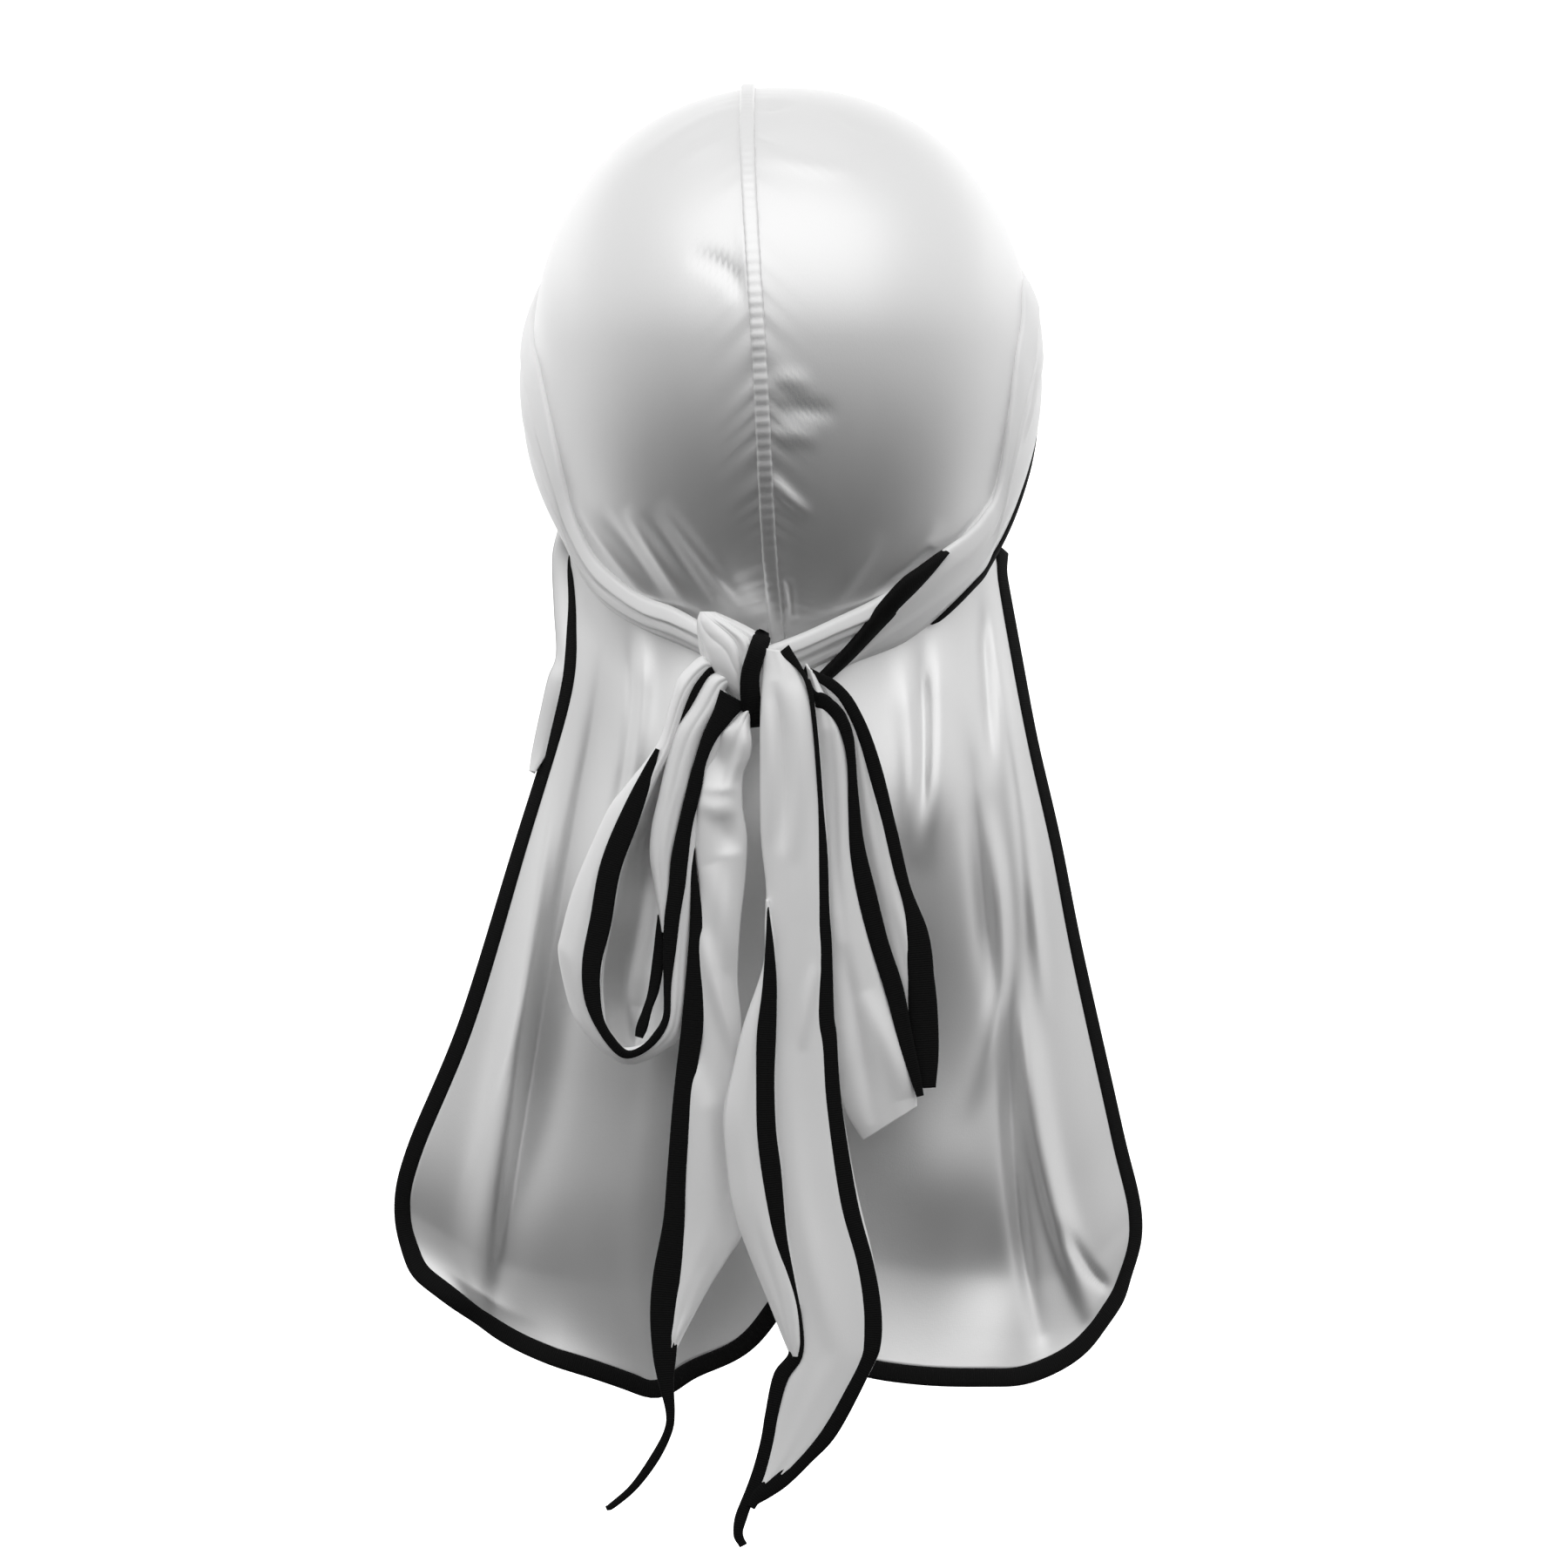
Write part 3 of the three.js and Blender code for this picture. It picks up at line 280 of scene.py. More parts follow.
def satin(name, metal, white):
    """White satin: long floats of yarn along the cloth as fine grain, with slight clouds in tone and gloss."""
    finish = Finish(name)
    cloth = finish.node("ShaderNodeUVMap", {"uv_map": "cloth"})
    floats = finish.node("ShaderNodeTexNoise", {}, {
        "Vector": finish.scaled(cloth, (3800, 900, 1)), "Scale": 1.0, "Detail": 2.0,
    })
    picks = finish.node("ShaderNodeTexNoise", {}, {
        "Vector": finish.scaled(cloth, (600, 3200, 1)), "Scale": 1.0, "Detail": 1.0,
    })
    clouds = finish.node("ShaderNodeTexNoise", {}, {
        "Vector": finish.scaled(cloth, (26, 18, 1)), "Scale": 1.0, "Detail": 3.0,
    })
    grain = floats * 0.65 + picks * 0.35
    bump = finish.node("ShaderNodeBump", {}, {"Strength": 0.16, "Distance": 0.0002, "Height": grain})
    mixed = clouds * 0.7 + grain * 0.3
    tone = finish.node("ShaderNodeValToRGB", {"stops": [(0.25, white - 0.05), (0.75, white)]}, {"Fac": mixed})
    return finish.surface({
        "Base Color": tone, "Roughness": clouds * 0.1 + 0.39, "Normal": bump, "Metallic": metal,
        "Specular IOR Level": 0.55, "Sheen Weight": 0.12, "Sheen Roughness": 0.4,
    })


# The cap, flap, seam and the left loop's inner face use this copy, whose base (0.86) is darker and whose metal is
# higher than the copy on the ties, knot and bow: painted shade against that lighter copy.
WHITE_SATIN = satin("white satin", 0.84, 0.86)


def cap_half(side):
    """Grid from the forehead to the nape (rows) and from the seam to the strap's line (columns).
    Each row is an arc between two directions from the head's centre, pushed out by the lift and the creases."""
    along = np.linspace(0, 1, CAP_ROWS + 1)
    seam = through(SEAM_LINE, along)
    angle = np.radians(seam[:, 0])
    start = unit(np.stack([seam[:, 1], np.cos(angle), np.sin(angle)], -1))
    edge = through(CAP_EDGE, along)
    end = head_direction(side * edge[:, 0], edge[:, 1])
    away = np.linspace(0, 1, CAP_COLUMNS + 1)
    shape = (CAP_ROWS + 1, CAP_COLUMNS + 1, 3)
    first, last = np.broadcast_to(start[:, None], shape), np.broadcast_to(end[:, None], shape)
    d = between(first, last, np.broadcast_to(away, shape[:2]))
    bare = head_point(d, np.full(shape[:2], CAP_LIFT))
    back = np.clip((-bare[..., 1] - 5) / 25, 0, 1)
    from_seam = np.linalg.norm(bare - bare[:, :1], axis=-1)
    run = along[:, None] * 330
    wave = 0.28 * np.sin(run * 0.83 + 2 * np.sin(run * 0.19))
    pucker = wave * np.exp(-from_seam / 6) * np.clip(from_seam / 3, 0, 1)
    slack = 1.7 * creases(bare, CAP_CREASES) * back * np.clip(from_seam / 2.5, 0, 1)
    return head_point(d, CAP_LIFT + slack + pucker)


caps = {}
for side, hand in ((-1, "left"), (1, "right")):
    caps[side] = cap_half(side)
    piece = surface("satin_cap_" + hand, caps[side], WHITE_SATIN, SATIN_WALL)
    fasten(piece, "cap_" + hand)

# Flap: each half of the long flap goes on from its half of the cap, under the strap, and hangs free in folds.
# The two halves end in round lobes with a notch between them.

FLAP_DROP, FLAP_HALF = 255.0, 118.5
FLAP_BACK_DEPTH, FLAP_SIDE_DEPTH = 78.0, 42.0
FLAP_ROWS = 130
FLAP_LEAN = {-1: (17.0, 0.2, 0.78), 1: (15.0, 0.2, 0.66)}
FLAP_FLARE = {-1: (4.5, 40, 30), 1: (5.0, -20, 10)}
FLAP_TOP = -0.84 * NAPE_LEVEL
FLAP_SIDE = {
    -1: [(0.04, 0.54), (0.1, 0.54), (0.18, 0.56), (0.36, 0.68), (0.58, 0.825), (0.74, 0.967), (0.815, 1), (0.88, 0.96)],
    1: [
        (0.04, 0.575), (0.12, 0.605), (0.23, 0.65), (0.36, 0.715), (0.5, 0.775), (0.715, 0.878), (0.83, 0.93),
        (0.91, 0.885),
    ],
}
FLAP_HEM = {
    -1: [
        (0.88, 0.96), (0.947, 0.75), (0.974, 0.62), (0.992, 0.49), (1.007, 0.39), (1.015, 0.33), (0.99, 0.25),
        (0.959, 0.11),
        (0.9, 0.01),
    ],
    1: [
        (0.91, 0.885), (0.968, 0.78), (0.997, 0.65), (0.999, 0.54), (0.995, 0.36), (0.98, 0.19), (0.945, 0.08),
        (0.9, 0.01),
    ],
}

# Folds in the back view: a line of three places (x, z), its half widths to the left and to the right, and its height.
FLAP_FOLDS = {
    -1: [
        (-66.3, -168.5, -79.5, -270.1, -93.5, -378, 8, 2.8, 8),
        (-57, -190, -72, -275.4, -85.6, -361, 3, 10, -4.5),
        (-42.2, -165.8, -43.9, -189.9, -48.9, -230, 3.6, 3.6, 2.6),
        (-47.1, -173.8, -47.1, -203.2, -52.9, -235.3, 2.2, 2.2, -2.2),
        (-26.2, -177.8, -32.9, -221.9, -42.2, -280.8, 6, 6, 3.2),
    ],
    1: [
        (60.5, -152, 62.5, -178, 64.5, -215, 2.6, 2.6, -2.6),
        (68, -165, 73.3, -222, 80.8, -285, 4, 2.6, 3),
        (68, -190, 73.8, -232, 77.5, -285, 2, 2, -2),
        (57, -205, 62, -251, 66, -290, 4, 3, -2.8),
        (61, -225, 67.5, -263, 61, -315, 4, 3, 3),
        (71, -290, 72.5, -345, 80, -395, 3, 3, -4),
        (76, -285, 79, -325, 95, -385, 3, 4.5, 5),
        (47, -168, 49, -195, 46, -240, 4, 4, 2.4),
        (36, -178, 39, -200, 41, -240, 4, 3, 2),
        (42.5, -176, 43.5, -200, 42, -235, 2.5, 2.5, -2),
        (89, -361, 96, -374, 103, -382, 2.4, 2.4, -2),
    ],
}

# Broad swells of the cloth: place (x, z), half sizes across and down, and height.
FLAP_SWELLS = {
    -1: [(-58, -262, 20, 40, 3.5), (-96, -392, 12, 14, 2)],
    1: [(52, -345, 18, 24, 3), (46, -235, 14, 40, 1.6), (64, -372, 12, 16, -3)],
}


def folds(grid, rows):
    """Sum of upright folds: height times exp(-(offset / half width) ^ 2). The offset is taken across from a curve x(z)
    through three places, with a half width for each side, and a smooth start and end."""
    x, z = grid[..., 0], grid[..., 2]
    total = np.zeros(x.shape)
    for x1, z1, xm, zm, x2, z2, left, right, height in rows:
        curve = np.polyfit([z1, zm, z2], [x1, xm, x2], 2)
        off = x - np.polyval(curve, np.clip(z, z2 - 12, z1 + 12))
        half = np.where(off < 0, left, right)
        run = np.clip((z1 - z) / (z1 - z2), -0.2, 1.2)
        begin = np.clip((run + 0.14) / 0.5, 0, 1)
        finish = np.clip((1.16 - run) / 0.45, 0, 1)
        fade = begin**2 * (3 - 2 * begin) * finish**2 * (3 - 2 * finish)
        total += height * fade * np.exp(-((off / half) ** 2))
    return total


def swells(grid, rows):
    """Sum of round hills: height times exp(-(x offset / half size) ^ 2 - (z offset / half size) ^ 2)."""
    x, z = grid[..., 0], grid[..., 2]
    return sum(h * np.exp(-(((x - cx) / sx) ** 2) - ((z - cz) / sz) ** 2) for cx, cz, sx, sz, h in rows)


def flap_half(side):
    """Grid from the strap's line to the hem (rows) and from the free side edge to the seam (columns).
    In the back view it is a Coons patch of its four edges. Its depth goes from the head's to the hanging depth, plus
    the folds."""
    cap = caps[side]
    first = int(round(FLAP_START * CAP_ROWS))
    top = np.concatenate([cap[first:CAP_ROWS, -1], cap[-1, ::-1]])
    columns = len(top)
    v = np.linspace(0, 1, columns)[None, :]
    down = np.linspace(0, 1, FLAP_ROWS)[:, None]
    side_edge = through(FLAP_SIDE[side], down[:, 0])
    hem = through(FLAP_HEM[side], v[0])
    outline = lambda edge: np.stack([side * edge[:, 1] * FLAP_HALF, FLAP_TOP - edge[:, 0] * FLAP_DROP], -1)
    left, bottom = outline(side_edge), outline(hem)
    start = top[:, [0, 2]] - (0, 0.4)
    seam = start[-1] * (1 - down) + bottom[-1] * down
    left = left + (start[0] - left[0]) * (1 - down) ** 6
    u = down[..., None]
    w = v[..., None]
    flat = (1 - w) * left[:, None] + w * seam[:, None] + (1 - u) * start[None] + u * bottom[None]
    flat = flat - (
        (1 - w) * (1 - u) * start[0] + w * (1 - u) * start[-1] + (1 - w) * u * bottom[0] + w * u * bottom[-1])
    away = 1 - v
    hang = -FLAP_BACK_DEPTH + (FLAP_BACK_DEPTH - FLAP_SIDE_DEPTH) * away**2.2
    free = np.clip(down / 0.3, 0, 1)
    free = free**2 * (3 - 2 * free)
    depth = top[:, 1][None] * (1 - free) + hang * free
    grid = np.stack([flat[..., 0], depth, flat[..., 1]], -1)
    far, first_down, length = FLAP_LEAN[side]
    lean = np.clip((down - first_down) / length, 0, 1)
    forward, clear, reach = FLAP_FLARE[side]
    flare = np.clip((down - 0.84) / 0.16, 0, 1) ** 1.6 * np.clip((side * grid[..., 0] - clear) / reach, 0, 1)
    grid[..., 1] += far * lean**2 * (3 - 2 * lean) - forward * flare
    calm = np.clip(v / 0.09, 0, 1) ** 1.5 * np.clip((1 - down) / 0.05, 0, 1)
    rise = (folds(grid, FLAP_FOLDS[side]) + swells(grid, FLAP_SWELLS[side])) * calm
    begin = np.clip(down / 0.12, 0, 1)
    grid[..., 1] -= rise * begin**2 * (3 - 2 * begin)
    return grid


flaps = {}
for side, hand in ((-1, "left"), (1, "right")):
    flaps[side] = flap_half(side)
    piece = surface("satin_flap_" + hand, flaps[side], WHITE_SATIN, SATIN_WALL)
    fasten(piece, "flap_" + hand)

# The left half's free edge is turned back near its top, so a narrow strip of the cloth shows outside the tape.
TURNED_BACK = [
    (-70.6, -140.6, -67.6, -143, -1.4), (-72.6, -150, -64, -156, -0.4), (-72, -166, -64, -170, 0.5),
    (-71.2, -180.5, -64.6, -182, 0.8),
    (-73.8, -188.3, -66, -190, 0.8), (-76.2, -199, -69.4, -200, 0.4), (-78.4, -209.6, -73, -210, -0.4),
    (-79.6, -217.5, -78, -218.3, -1.4),
]
place = np.linspace(0, 1, 90)
x1, z1, x2, z2, back = (column[:, None] for column in through(TURNED_BACK, place).T)
share = np.linspace(0, 1, 12)[None, :]
edge = flaps[-1][:, 0]
depth = np.interp(-z2[:, 0], -edge[:, 2], edge[:, 1])[:, None]
behind_edge = depth + 2.2 + 0.5 * back + 2 * (1 - share) ** 3
turned = np.stack([x1 * (1 - share) + x2 * share, behind_edge, z1 * (1 - share) + z2 * share], -1)
piece = surface("satin_flap_left_turned", turned, WHITE_SATIN, SATIN_WALL)
fasten(piece, "flap_left")

# Edge tape: black cotton tape, folded round the raw edge of the cloth and stitched through near its inner side.
# It runs down each half of the flap and round the lobe to the notch, and along the front of the cap.

TAPE_WIDTH, FLAP_TAPE, TAPE_THICK = 5.3, 6.0, 1.7


def cotton_tape(name):
    """Black tape: fine ribs across it, a little fuzz, and a little dust in the tone."""
    finish = Finish(name)
    band = finish.node("ShaderNodeUVMap", {"uv_map": "cloth"})
    along = finish.node("ShaderNodeSeparateXYZ", {}, {"Vector": band}, "Y")
    ribs = finish.node("ShaderNodeMath", {"operation": "SINE"}, {0: along * 9000.0})
    fuzz = finish.node("ShaderNodeTexNoise", {}, {
        "Vector": finish.scaled(band, (2500, 2500, 1)), "Scale": 1.0, "Detail": 3.0,
    })
    height = ribs * 0.4 + fuzz * 0.6
    bump = finish.node("ShaderNodeBump", {}, {"Strength": 0.35, "Distance": 0.0003, "Height": height})
    tone = finish.node("ShaderNodeValToRGB", {"stops": [(0.3, 0.0025), (0.8, 0.006)]}, {"Fac": fuzz})
    return finish.surface({
        "Base Color": tone, "Roughness": fuzz * 0.2 + 0.62, "Normal": bump, "Specular IOR Level": 0.12,
    })


BLACK_TAPE = cotton_tape("black cotton tape")


def tube(name, rings, finish):
    """Closed skin over rings of points (rings x points x 3, millimetres), with a fan to a middle point at each end."""
    count, around = rings.shape[:2]
    a = (np.arange(count - 1)[:, None] * around + np.arange(around)).ravel()
    b = (np.arange(count - 1)[:, None] * around + (np.arange(around) + 1) % around).ravel()
    sides = np.stack([a, b, b + around, a + around], -1)
    points = np.concatenate([rings.reshape(-1, 3), rings[[0, -1]].mean(1)])
    hub = count * around
    ring = np.arange(around)
    turn = (ring + 1) % around
    last = (count - 1) * around
    fans = [
        np.stack([turn, ring, np.full(around, hub)], -1),
        np.stack([last + ring, last + turn, np.full(around, hub + 1)], -1),
    ]
    run = np.concatenate([[0], np.cumsum(np.linalg.norm(np.diff(rings.mean(1), axis=0), axis=-1))])
    girth = np.linspace(0, np.linalg.norm(np.diff(rings, axis=1), axis=-1).sum(1).mean(), around)
    uv = np.stack(np.broadcast_arrays(girth[None, :], run[:, None]), -1).reshape(-1, 2)
    uv = np.concatenate([uv, [[0, 0], [0, run[-1]]]]) * MM
    mesh = bpy.data.meshes.new(name)
    faces = sides.tolist() + fans[0].tolist() + fans[1].tolist()
    mesh.from_pydata((points * MM).tolist(), [], faces)
    mesh.polygons.foreach_set("use_smooth", np.ones(len(faces), bool))
    layer = mesh.uv_layers.new(name="cloth")
    corners = np.concatenate([sides.ravel(), fans[0].ravel(), fans[1].ravel()])
    layer.data.foreach_set("uv", uv[corners].ravel())
    work = bmesh.new()
    work.from_mesh(mesh)
    bmesh.ops.recalc_face_normals(work, faces=work.faces)
    work.to_mesh(mesh)
    work.free()
    mesh.materials.append(finish)
    piece = bpy.data.objects.new(name, mesh)
    bpy.context.scene.collection.objects.link(piece)
    return piece


def band(name, middle, across, up, width, thick, finish):
    """Flat band along a path: each ring is a squared ellipse of half axes width / 2 along across and thick / 2
    along up."""
    turn = np.linspace(0, 2 * pi, 20, endpoint=False)
    x = np.sign(np.cos(turn)) * np.abs(np.cos(turn)) ** 0.55
    y = np.sign(np.sin(turn)) * np.abs(np.sin(turn)) ** 0.7
    half = np.broadcast_to(np.asarray(width, float) / 2, len(middle))[:, None, None]
    deep = np.broadcast_to(np.asarray(thick, float) / 2, len(middle))[:, None, None]
    rings = middle[:, None] + across[:, None] * half * x[:, None] + up[:, None] * deep * y[:, None]
    return tube(name, rings, finish)


def even(path, step, *others):
    """Path and other values again at even steps of length along the path."""
    run = np.concatenate([[0], np.cumsum(np.linalg.norm(np.diff(path, axis=0), axis=-1))])
    at = np.linspace(0, run[-1], int(run[-1] / step) + 1)
    again = lambda values: np.stack([np.interp(at, run, values[:, k]) for k in range(values.shape[1])], -1)
    return [again(values) for values in (path, *others)]


def soften(values, rounds):
    """Each row becomes the mean of itself and its neighbours, several times; the ends stay."""
    for _ in range(rounds):
        values = values.copy()
        values[1:-1] = (values[:-2] + 2 * values[1:-1] + values[2:]) / 4
    return values


def grid_normals(grid):
    """Unit normals of a grid: cross product of its steps down the rows and across the columns."""
    return unit(np.cross(np.gradient(grid, axis=1), np.gradient(grid, axis=0)))


# Each flap tape starts under the tie, at a place on the head.
TAPE_START = {-1: (-67.5, -33, -150), 1: (69.5, -32, -148)}
for side, hand in ((-1, "left"), (1, "right")):
    grid = flaps[side]
    normal = grid_normals(grid) * side
    start = head_point(np.array([TAPE_START[side]]) - centre, np.array([0.6]))
    edge = np.concatenate([start, grid[3:, 0], grid[-1, 1:]])
    facing = np.concatenate([normal[3:4, 0], normal[3:, 0], normal[-1, 1:]])
    path, facing = even(edge, 1.6, edge * 0 + facing)
    path, facing = soften(path, 6), unit(soften(facing, 8))
    along = unit(np.gradient(path, axis=0))
    out = unit(np.cross(facing, along)) * side
    middle = path + out * (FLAP_TAPE / 2 - 0.9)
    piece = band("flap_tape_" + hand, middle, out, facing, FLAP_TAPE, TAPE_THICK, BLACK_TAPE)
    fasten(piece, "flap_binding_" + hand)

front = np.concatenate([caps[-1][0, :0:-1], caps[1][0, :]])
path, = even(front, 1.6)
path = soften(path, 4)
facing = unit(head_point(path - centre, np.ones(len(path))) - head_point(path - centre, np.zeros(len(path))))
along = unit(np.gradient(path, axis=0))
out = unit(np.cross(facing, along))
out *= np.sign(out[:, 1] - out[:, 2]).mean()
piece = band("front_tape", path + out * (TAPE_WIDTH / 2 - 0.4), out, facing, TAPE_WIDTH, TAPE_THICK, BLACK_TAPE)
fasten(piece, "front_binding")

# Centre seam: the two halves are sewn right sides out, so their edges stand up as a narrow rounded welt.
# It runs from the forehead over the crown and down the flap to the notch, and is slightly uneven from the sewing.

SEAM_WIDTH, SEAM_HEIGHT = 4.6, 2.6
cap_line = (caps[-1][:, 0] + caps[1][:, 0]) / 2
flap_line = (flaps[-1][1:, -1] + flaps[1][1:, -1]) / 2
path, = even(np.concatenate([cap_line, flap_line]), 0.8)
path = soften(path, 10)
along = unit(np.gradient(path, axis=0))
facing = unit(np.cross(np.array([1.0, 0, 0]), along))
facing *= np.where((facing * (path - centre)).sum(-1, keepdims=True) < 0, -1, 1)
facing = unit(soften(facing, 10))
across = unit(np.cross(along, facing))
run = np.arange(len(path)) * 0.8
lumps = 0.12 * np.sin(run * 1.9) + 0.1 * np.sin(run * 0.47)
piece = band(
    "seam_welt", path + facing * 0.9, across, facing, SEAM_WIDTH + lumps, SEAM_HEIGHT + lumps, WHITE_SATIN)
fasten(piece, "centre_seam")

# Knot: the straps are wrapped once round each other at the nape and pulled tight, so the satin pleats towards the tip.
# A piece of the strap's black edge crosses its right part.

BOW_PLANE = -FLAP_BACK_DEPTH - 8
KNOT_DEPTH = BOW_PLANE - 2
KNOT_RINGS = [
    (-168.6, -25.4, -20.5, 3), (-171.2, -26.2, -14.5, 6), (-174.2, -26.2, -8.5, 7.8), (-177.2, -25.8, -4.4, 8.8),
    (-180.8, -25.2, -3.2, 9.2), (-185.8, -23.6, -3.8, 9), (-190.8, -19.6, -5, 8.2), (-195.6, -15, -5.4, 7),
    (-199.6, -11.8, -5.6, 5.4),
    (-203, -10.6, -6, 3),
]


def knot_point(place, angle, grown):
    """Ring at a place from the top (0) to the tip (1): an ellipse between a left and a right edge, whose radius swells
    and dips over slanting pleats. The angle starts at the left side, and -90 degrees is the front."""
    level, left, right, deep = np.moveaxis(through(KNOT_RINGS, place), -1, 0)
    lean = angle + 0.9 * place + 0.25 * np.sin(3 * angle)
    fold = 1 - np.abs(np.sin(3.5 * lean + 0.4)) ** 0.55
    fine = 1 - np.abs(np.sin(7.7 * lean + 1.1)) ** 0.7
    pleat = 1.02 - (0.17 * fold + 0.06 * fine) * np.sin(pi * np.clip(place, 0.06, 0.96)) ** 0.5
    half = (right - left) / 2 * pleat + grown
    thick = deep * pleat + grown
    return np.stack([(left + right) / 2 - np.cos(angle) * half, KNOT_DEPTH + np.sin(angle) * thick, level], -1)


# The ties, knot and bow take a copy of the same white satin painted lighter (base 0.96 against the cap's 0.86, with
# less metal): painted light, so that they read brighter than the flap.
PAINTED_LIGHTER_SATIN = satin("white satin, painted lighter", 0.12, 0.96)
place, angle = np.meshgrid(np.linspace(0, 1, 90), np.linspace(0, 2 * pi, 260, endpoint=False), indexing="ij")
piece = tube("nape_knot", knot_point(place, angle, 0.0), PAINTED_LIGHTER_SATIN)
fasten(piece, "knot")

# Black band over the knot in the back view: places (x, z) down its middle, with its width.
KNOT_BAND = [
    (-5.6, -174.6, 4.4), (-6.6, -177.6, 5.8), (-8.3, -182.5, 6.1), (-9.8, -188, 6.2), (-9.9, -193.5, 6.4),
    (-9.2, -199, 6.2), (-8.6, -204, 5.6),
]
share = np.linspace(0, 1, 48)
x, z, wide = through(KNOT_BAND, share).T
levels, lefts, rights, deeps = np.array(KNOT_RINGS).T
high = -levels
left, right, deep = (np.interp(-z, high, values) for values in (lefts, rights, deeps))
off = np.clip((x - (left + right) / 2) / ((right - left) / 2), -0.97, 0.97)
middle = np.stack([x, KNOT_DEPTH - deep * np.sqrt(1 - off**2) - 0.9, z], -1)
middle[:, 1] = soften(middle[:, 1:2], 6)[:, 0]
slope = off / np.sqrt(1 - off**2) * deep / ((right - left) / 2)
across = unit(soften(np.stack([np.ones(48), np.clip(slope, -0.6, 1.1), 0.35 * np.ones(48)], -1), 8))
along = unit(np.gradient(middle, axis=0))
across = unit(across - (across * along).sum(-1, keepdims=True) * along)
piece = band("knot_tape", middle, across, unit(np.cross(along, across)), wide, 1.7, BLACK_TAPE)
fasten(piece, "knot_binding")

# Ties on the head: each strap comes round from the temple, folded lengthwise in two or three layers, and is gathered to
# a rope of satin at the knot. The right one shows its taped lower edge and is turned over itself near the knot.

TIE_SEAT, TIE_THICK = 1.0, 2.9

# Places along a tie: turn round the head from the back (degrees), level of its upper and of its lower edge, and how far
# it stands off there.
TIE_LEFT = [
    (140, 0.18, 0.4, -0.6), (115, 0.25, 0.49, 0), (92, 0.385, 0.615, 0), (78, 0.45, 0.69, 0), (68, 0.497, 0.76, 0),
    (61, 0.57, 0.812, 0), (56.5, 0.65, 0.85, 0), (53, 0.755, 0.884, 0), (48, 0.832, 0.918, 0), (42, 0.872, 0.946, 0),
    (33, 0.912, 0.972, 0.3), (25, 0.93, 0.99, 1.2), (18, 0.952, 1.005, 3), (10, 0.975, 1.02, 7),
]
TIE_RIGHT = [
    (140, 0.18, 0.4, -0.6), (115, 0.25, 0.49, 0), (92, 0.33, 0.57, 0), (83, 0.338, 0.612, 0), (76, 0.345, 0.67, 0),
    (70, 0.37, 0.722, 0), (64, 0.43, 0.78, 0), (59, 0.49, 0.825, 0), (55.5, 0.59, 0.85, 0), (52.5, 0.72, 0.868, 0),
    (48, 0.765, 0.888, 0), (42, 0.81, 0.922, 0), (36, 0.85, 0.952, 0), (28, 0.887, 0.975, 0), (20, 0.92, 0.995, 0.8),
    (12, 0.946, 1.012, 2), (4, 0.967, 1.03, 4.4), (-6, 0.985, 1.04, 8),
]
TIE_TURNED = [
    (66, 0.41, 0.762, -1.6), (59, 0.492, 0.826, -0.2), (55.5, 0.59, 0.852, 0.4), (52.5, 0.72, 0.87, 1),
    (48, 0.765, 0.89, 1.5),
    (42, 0.8, 0.923, 1.9), (36, 0.826, 0.956, 2.2), (30, 0.856, 0.984, 2.4), (24, 0.893, 1, 2.7),
    (18, 0.95, 1.013, 3.2),
    (13, 0.994, 1.02, 5.6), (8, 1.018, 1.031, 9.4),
]
TURNED_TAPE = [
    (35.5, 0.829, 0.833, 2), (33, 0.838, 0.86, 2.5), (29, 0.858, 0.898, 2.9), (25, 0.88, 0.936, 3.2),
    (20.7, 0.921, 0.972, 3.5),
    (15, 0.974, 1.008, 5.9), (8, 1.015, 1.037, 10.2),
]
LOWER_TAPE = [
    (140, 0.386, 0.416, 0), (115, 0.475, 0.506, 0), (92, 0.553, 0.588, 0), (83, 0.59, 0.628, 0), (76, 0.646, 0.685, 0),
    (70, 0.698, 0.735, 0), (64, 0.757, 0.791, 0), (59, 0.805, 0.836, 0), (55.5, 0.833, 0.86, 0.4),
    (52.5, 0.853, 0.878, 1),
    (48, 0.876, 0.898, 1.5), (42, 0.912, 0.93, 1.9), (38.5, 0.936, 0.946, 2), (36.5, 0.95, 0.952, 1.4),
]


def tie(rows, side, thick, pleats, steps, seat=TIE_SEAT):
    """Rings round a strip that follows the head, each at one turn round it. The outer half of a ring bulges by a
    squared ellipse between the two edges' levels, with pleats as one-sided hills that drift across; the inner half
    lies on the cap."""
    line = through(rows, np.linspace(0, 1, steps))
    turn = np.linspace(0, 2 * pi, 96, endpoint=False)
    x = (np.sign(np.cos(turn)) * np.abs(np.cos(turn)) ** 0.75)[None]
    y = (np.sign(np.sin(turn)) * np.abs(np.sin(turn)) ** 0.6)[None]
    upper, lower = line[:, 1:2], line[:, 2:3]
    level = (upper + lower) / 2 - x * (lower - upper) / 2
    d = head_direction(side * np.broadcast_to(line[:, :1], level.shape), level)
    run = np.linspace(0, 1, steps)[:, None]
    pleat = 0
    for first, last, left, right, height in pleats:
        off = x - first - (last - first) * run - 0.05 * np.sin(17 * run + 9 * first)
        pleat = pleat + height * np.exp(-((off / np.where(off < 0, left, right)) ** 2))
    body = np.broadcast_to(np.asarray(thick, float).reshape(-1, 1), (steps, 1))
    outer = np.clip(y, 0, 1)
    lift = seat + line[:, 3:4] + outer * (body + pleat * np.sqrt(np.clip(1 - x**2, 0, 1))) - 0.4 * (y < 0)
    return head_point(d, lift)


def sewn(steps):
    """Thickness along a tie: flat at the front, where it is sewn to the cap, and full from a tenth of its length on."""
    rise = np.clip(np.linspace(0, 1, steps) / 0.1, 0, 1)
    return TIE_THICK * (0.3 + 0.7 * (3 - 2 * rise) * rise**2)


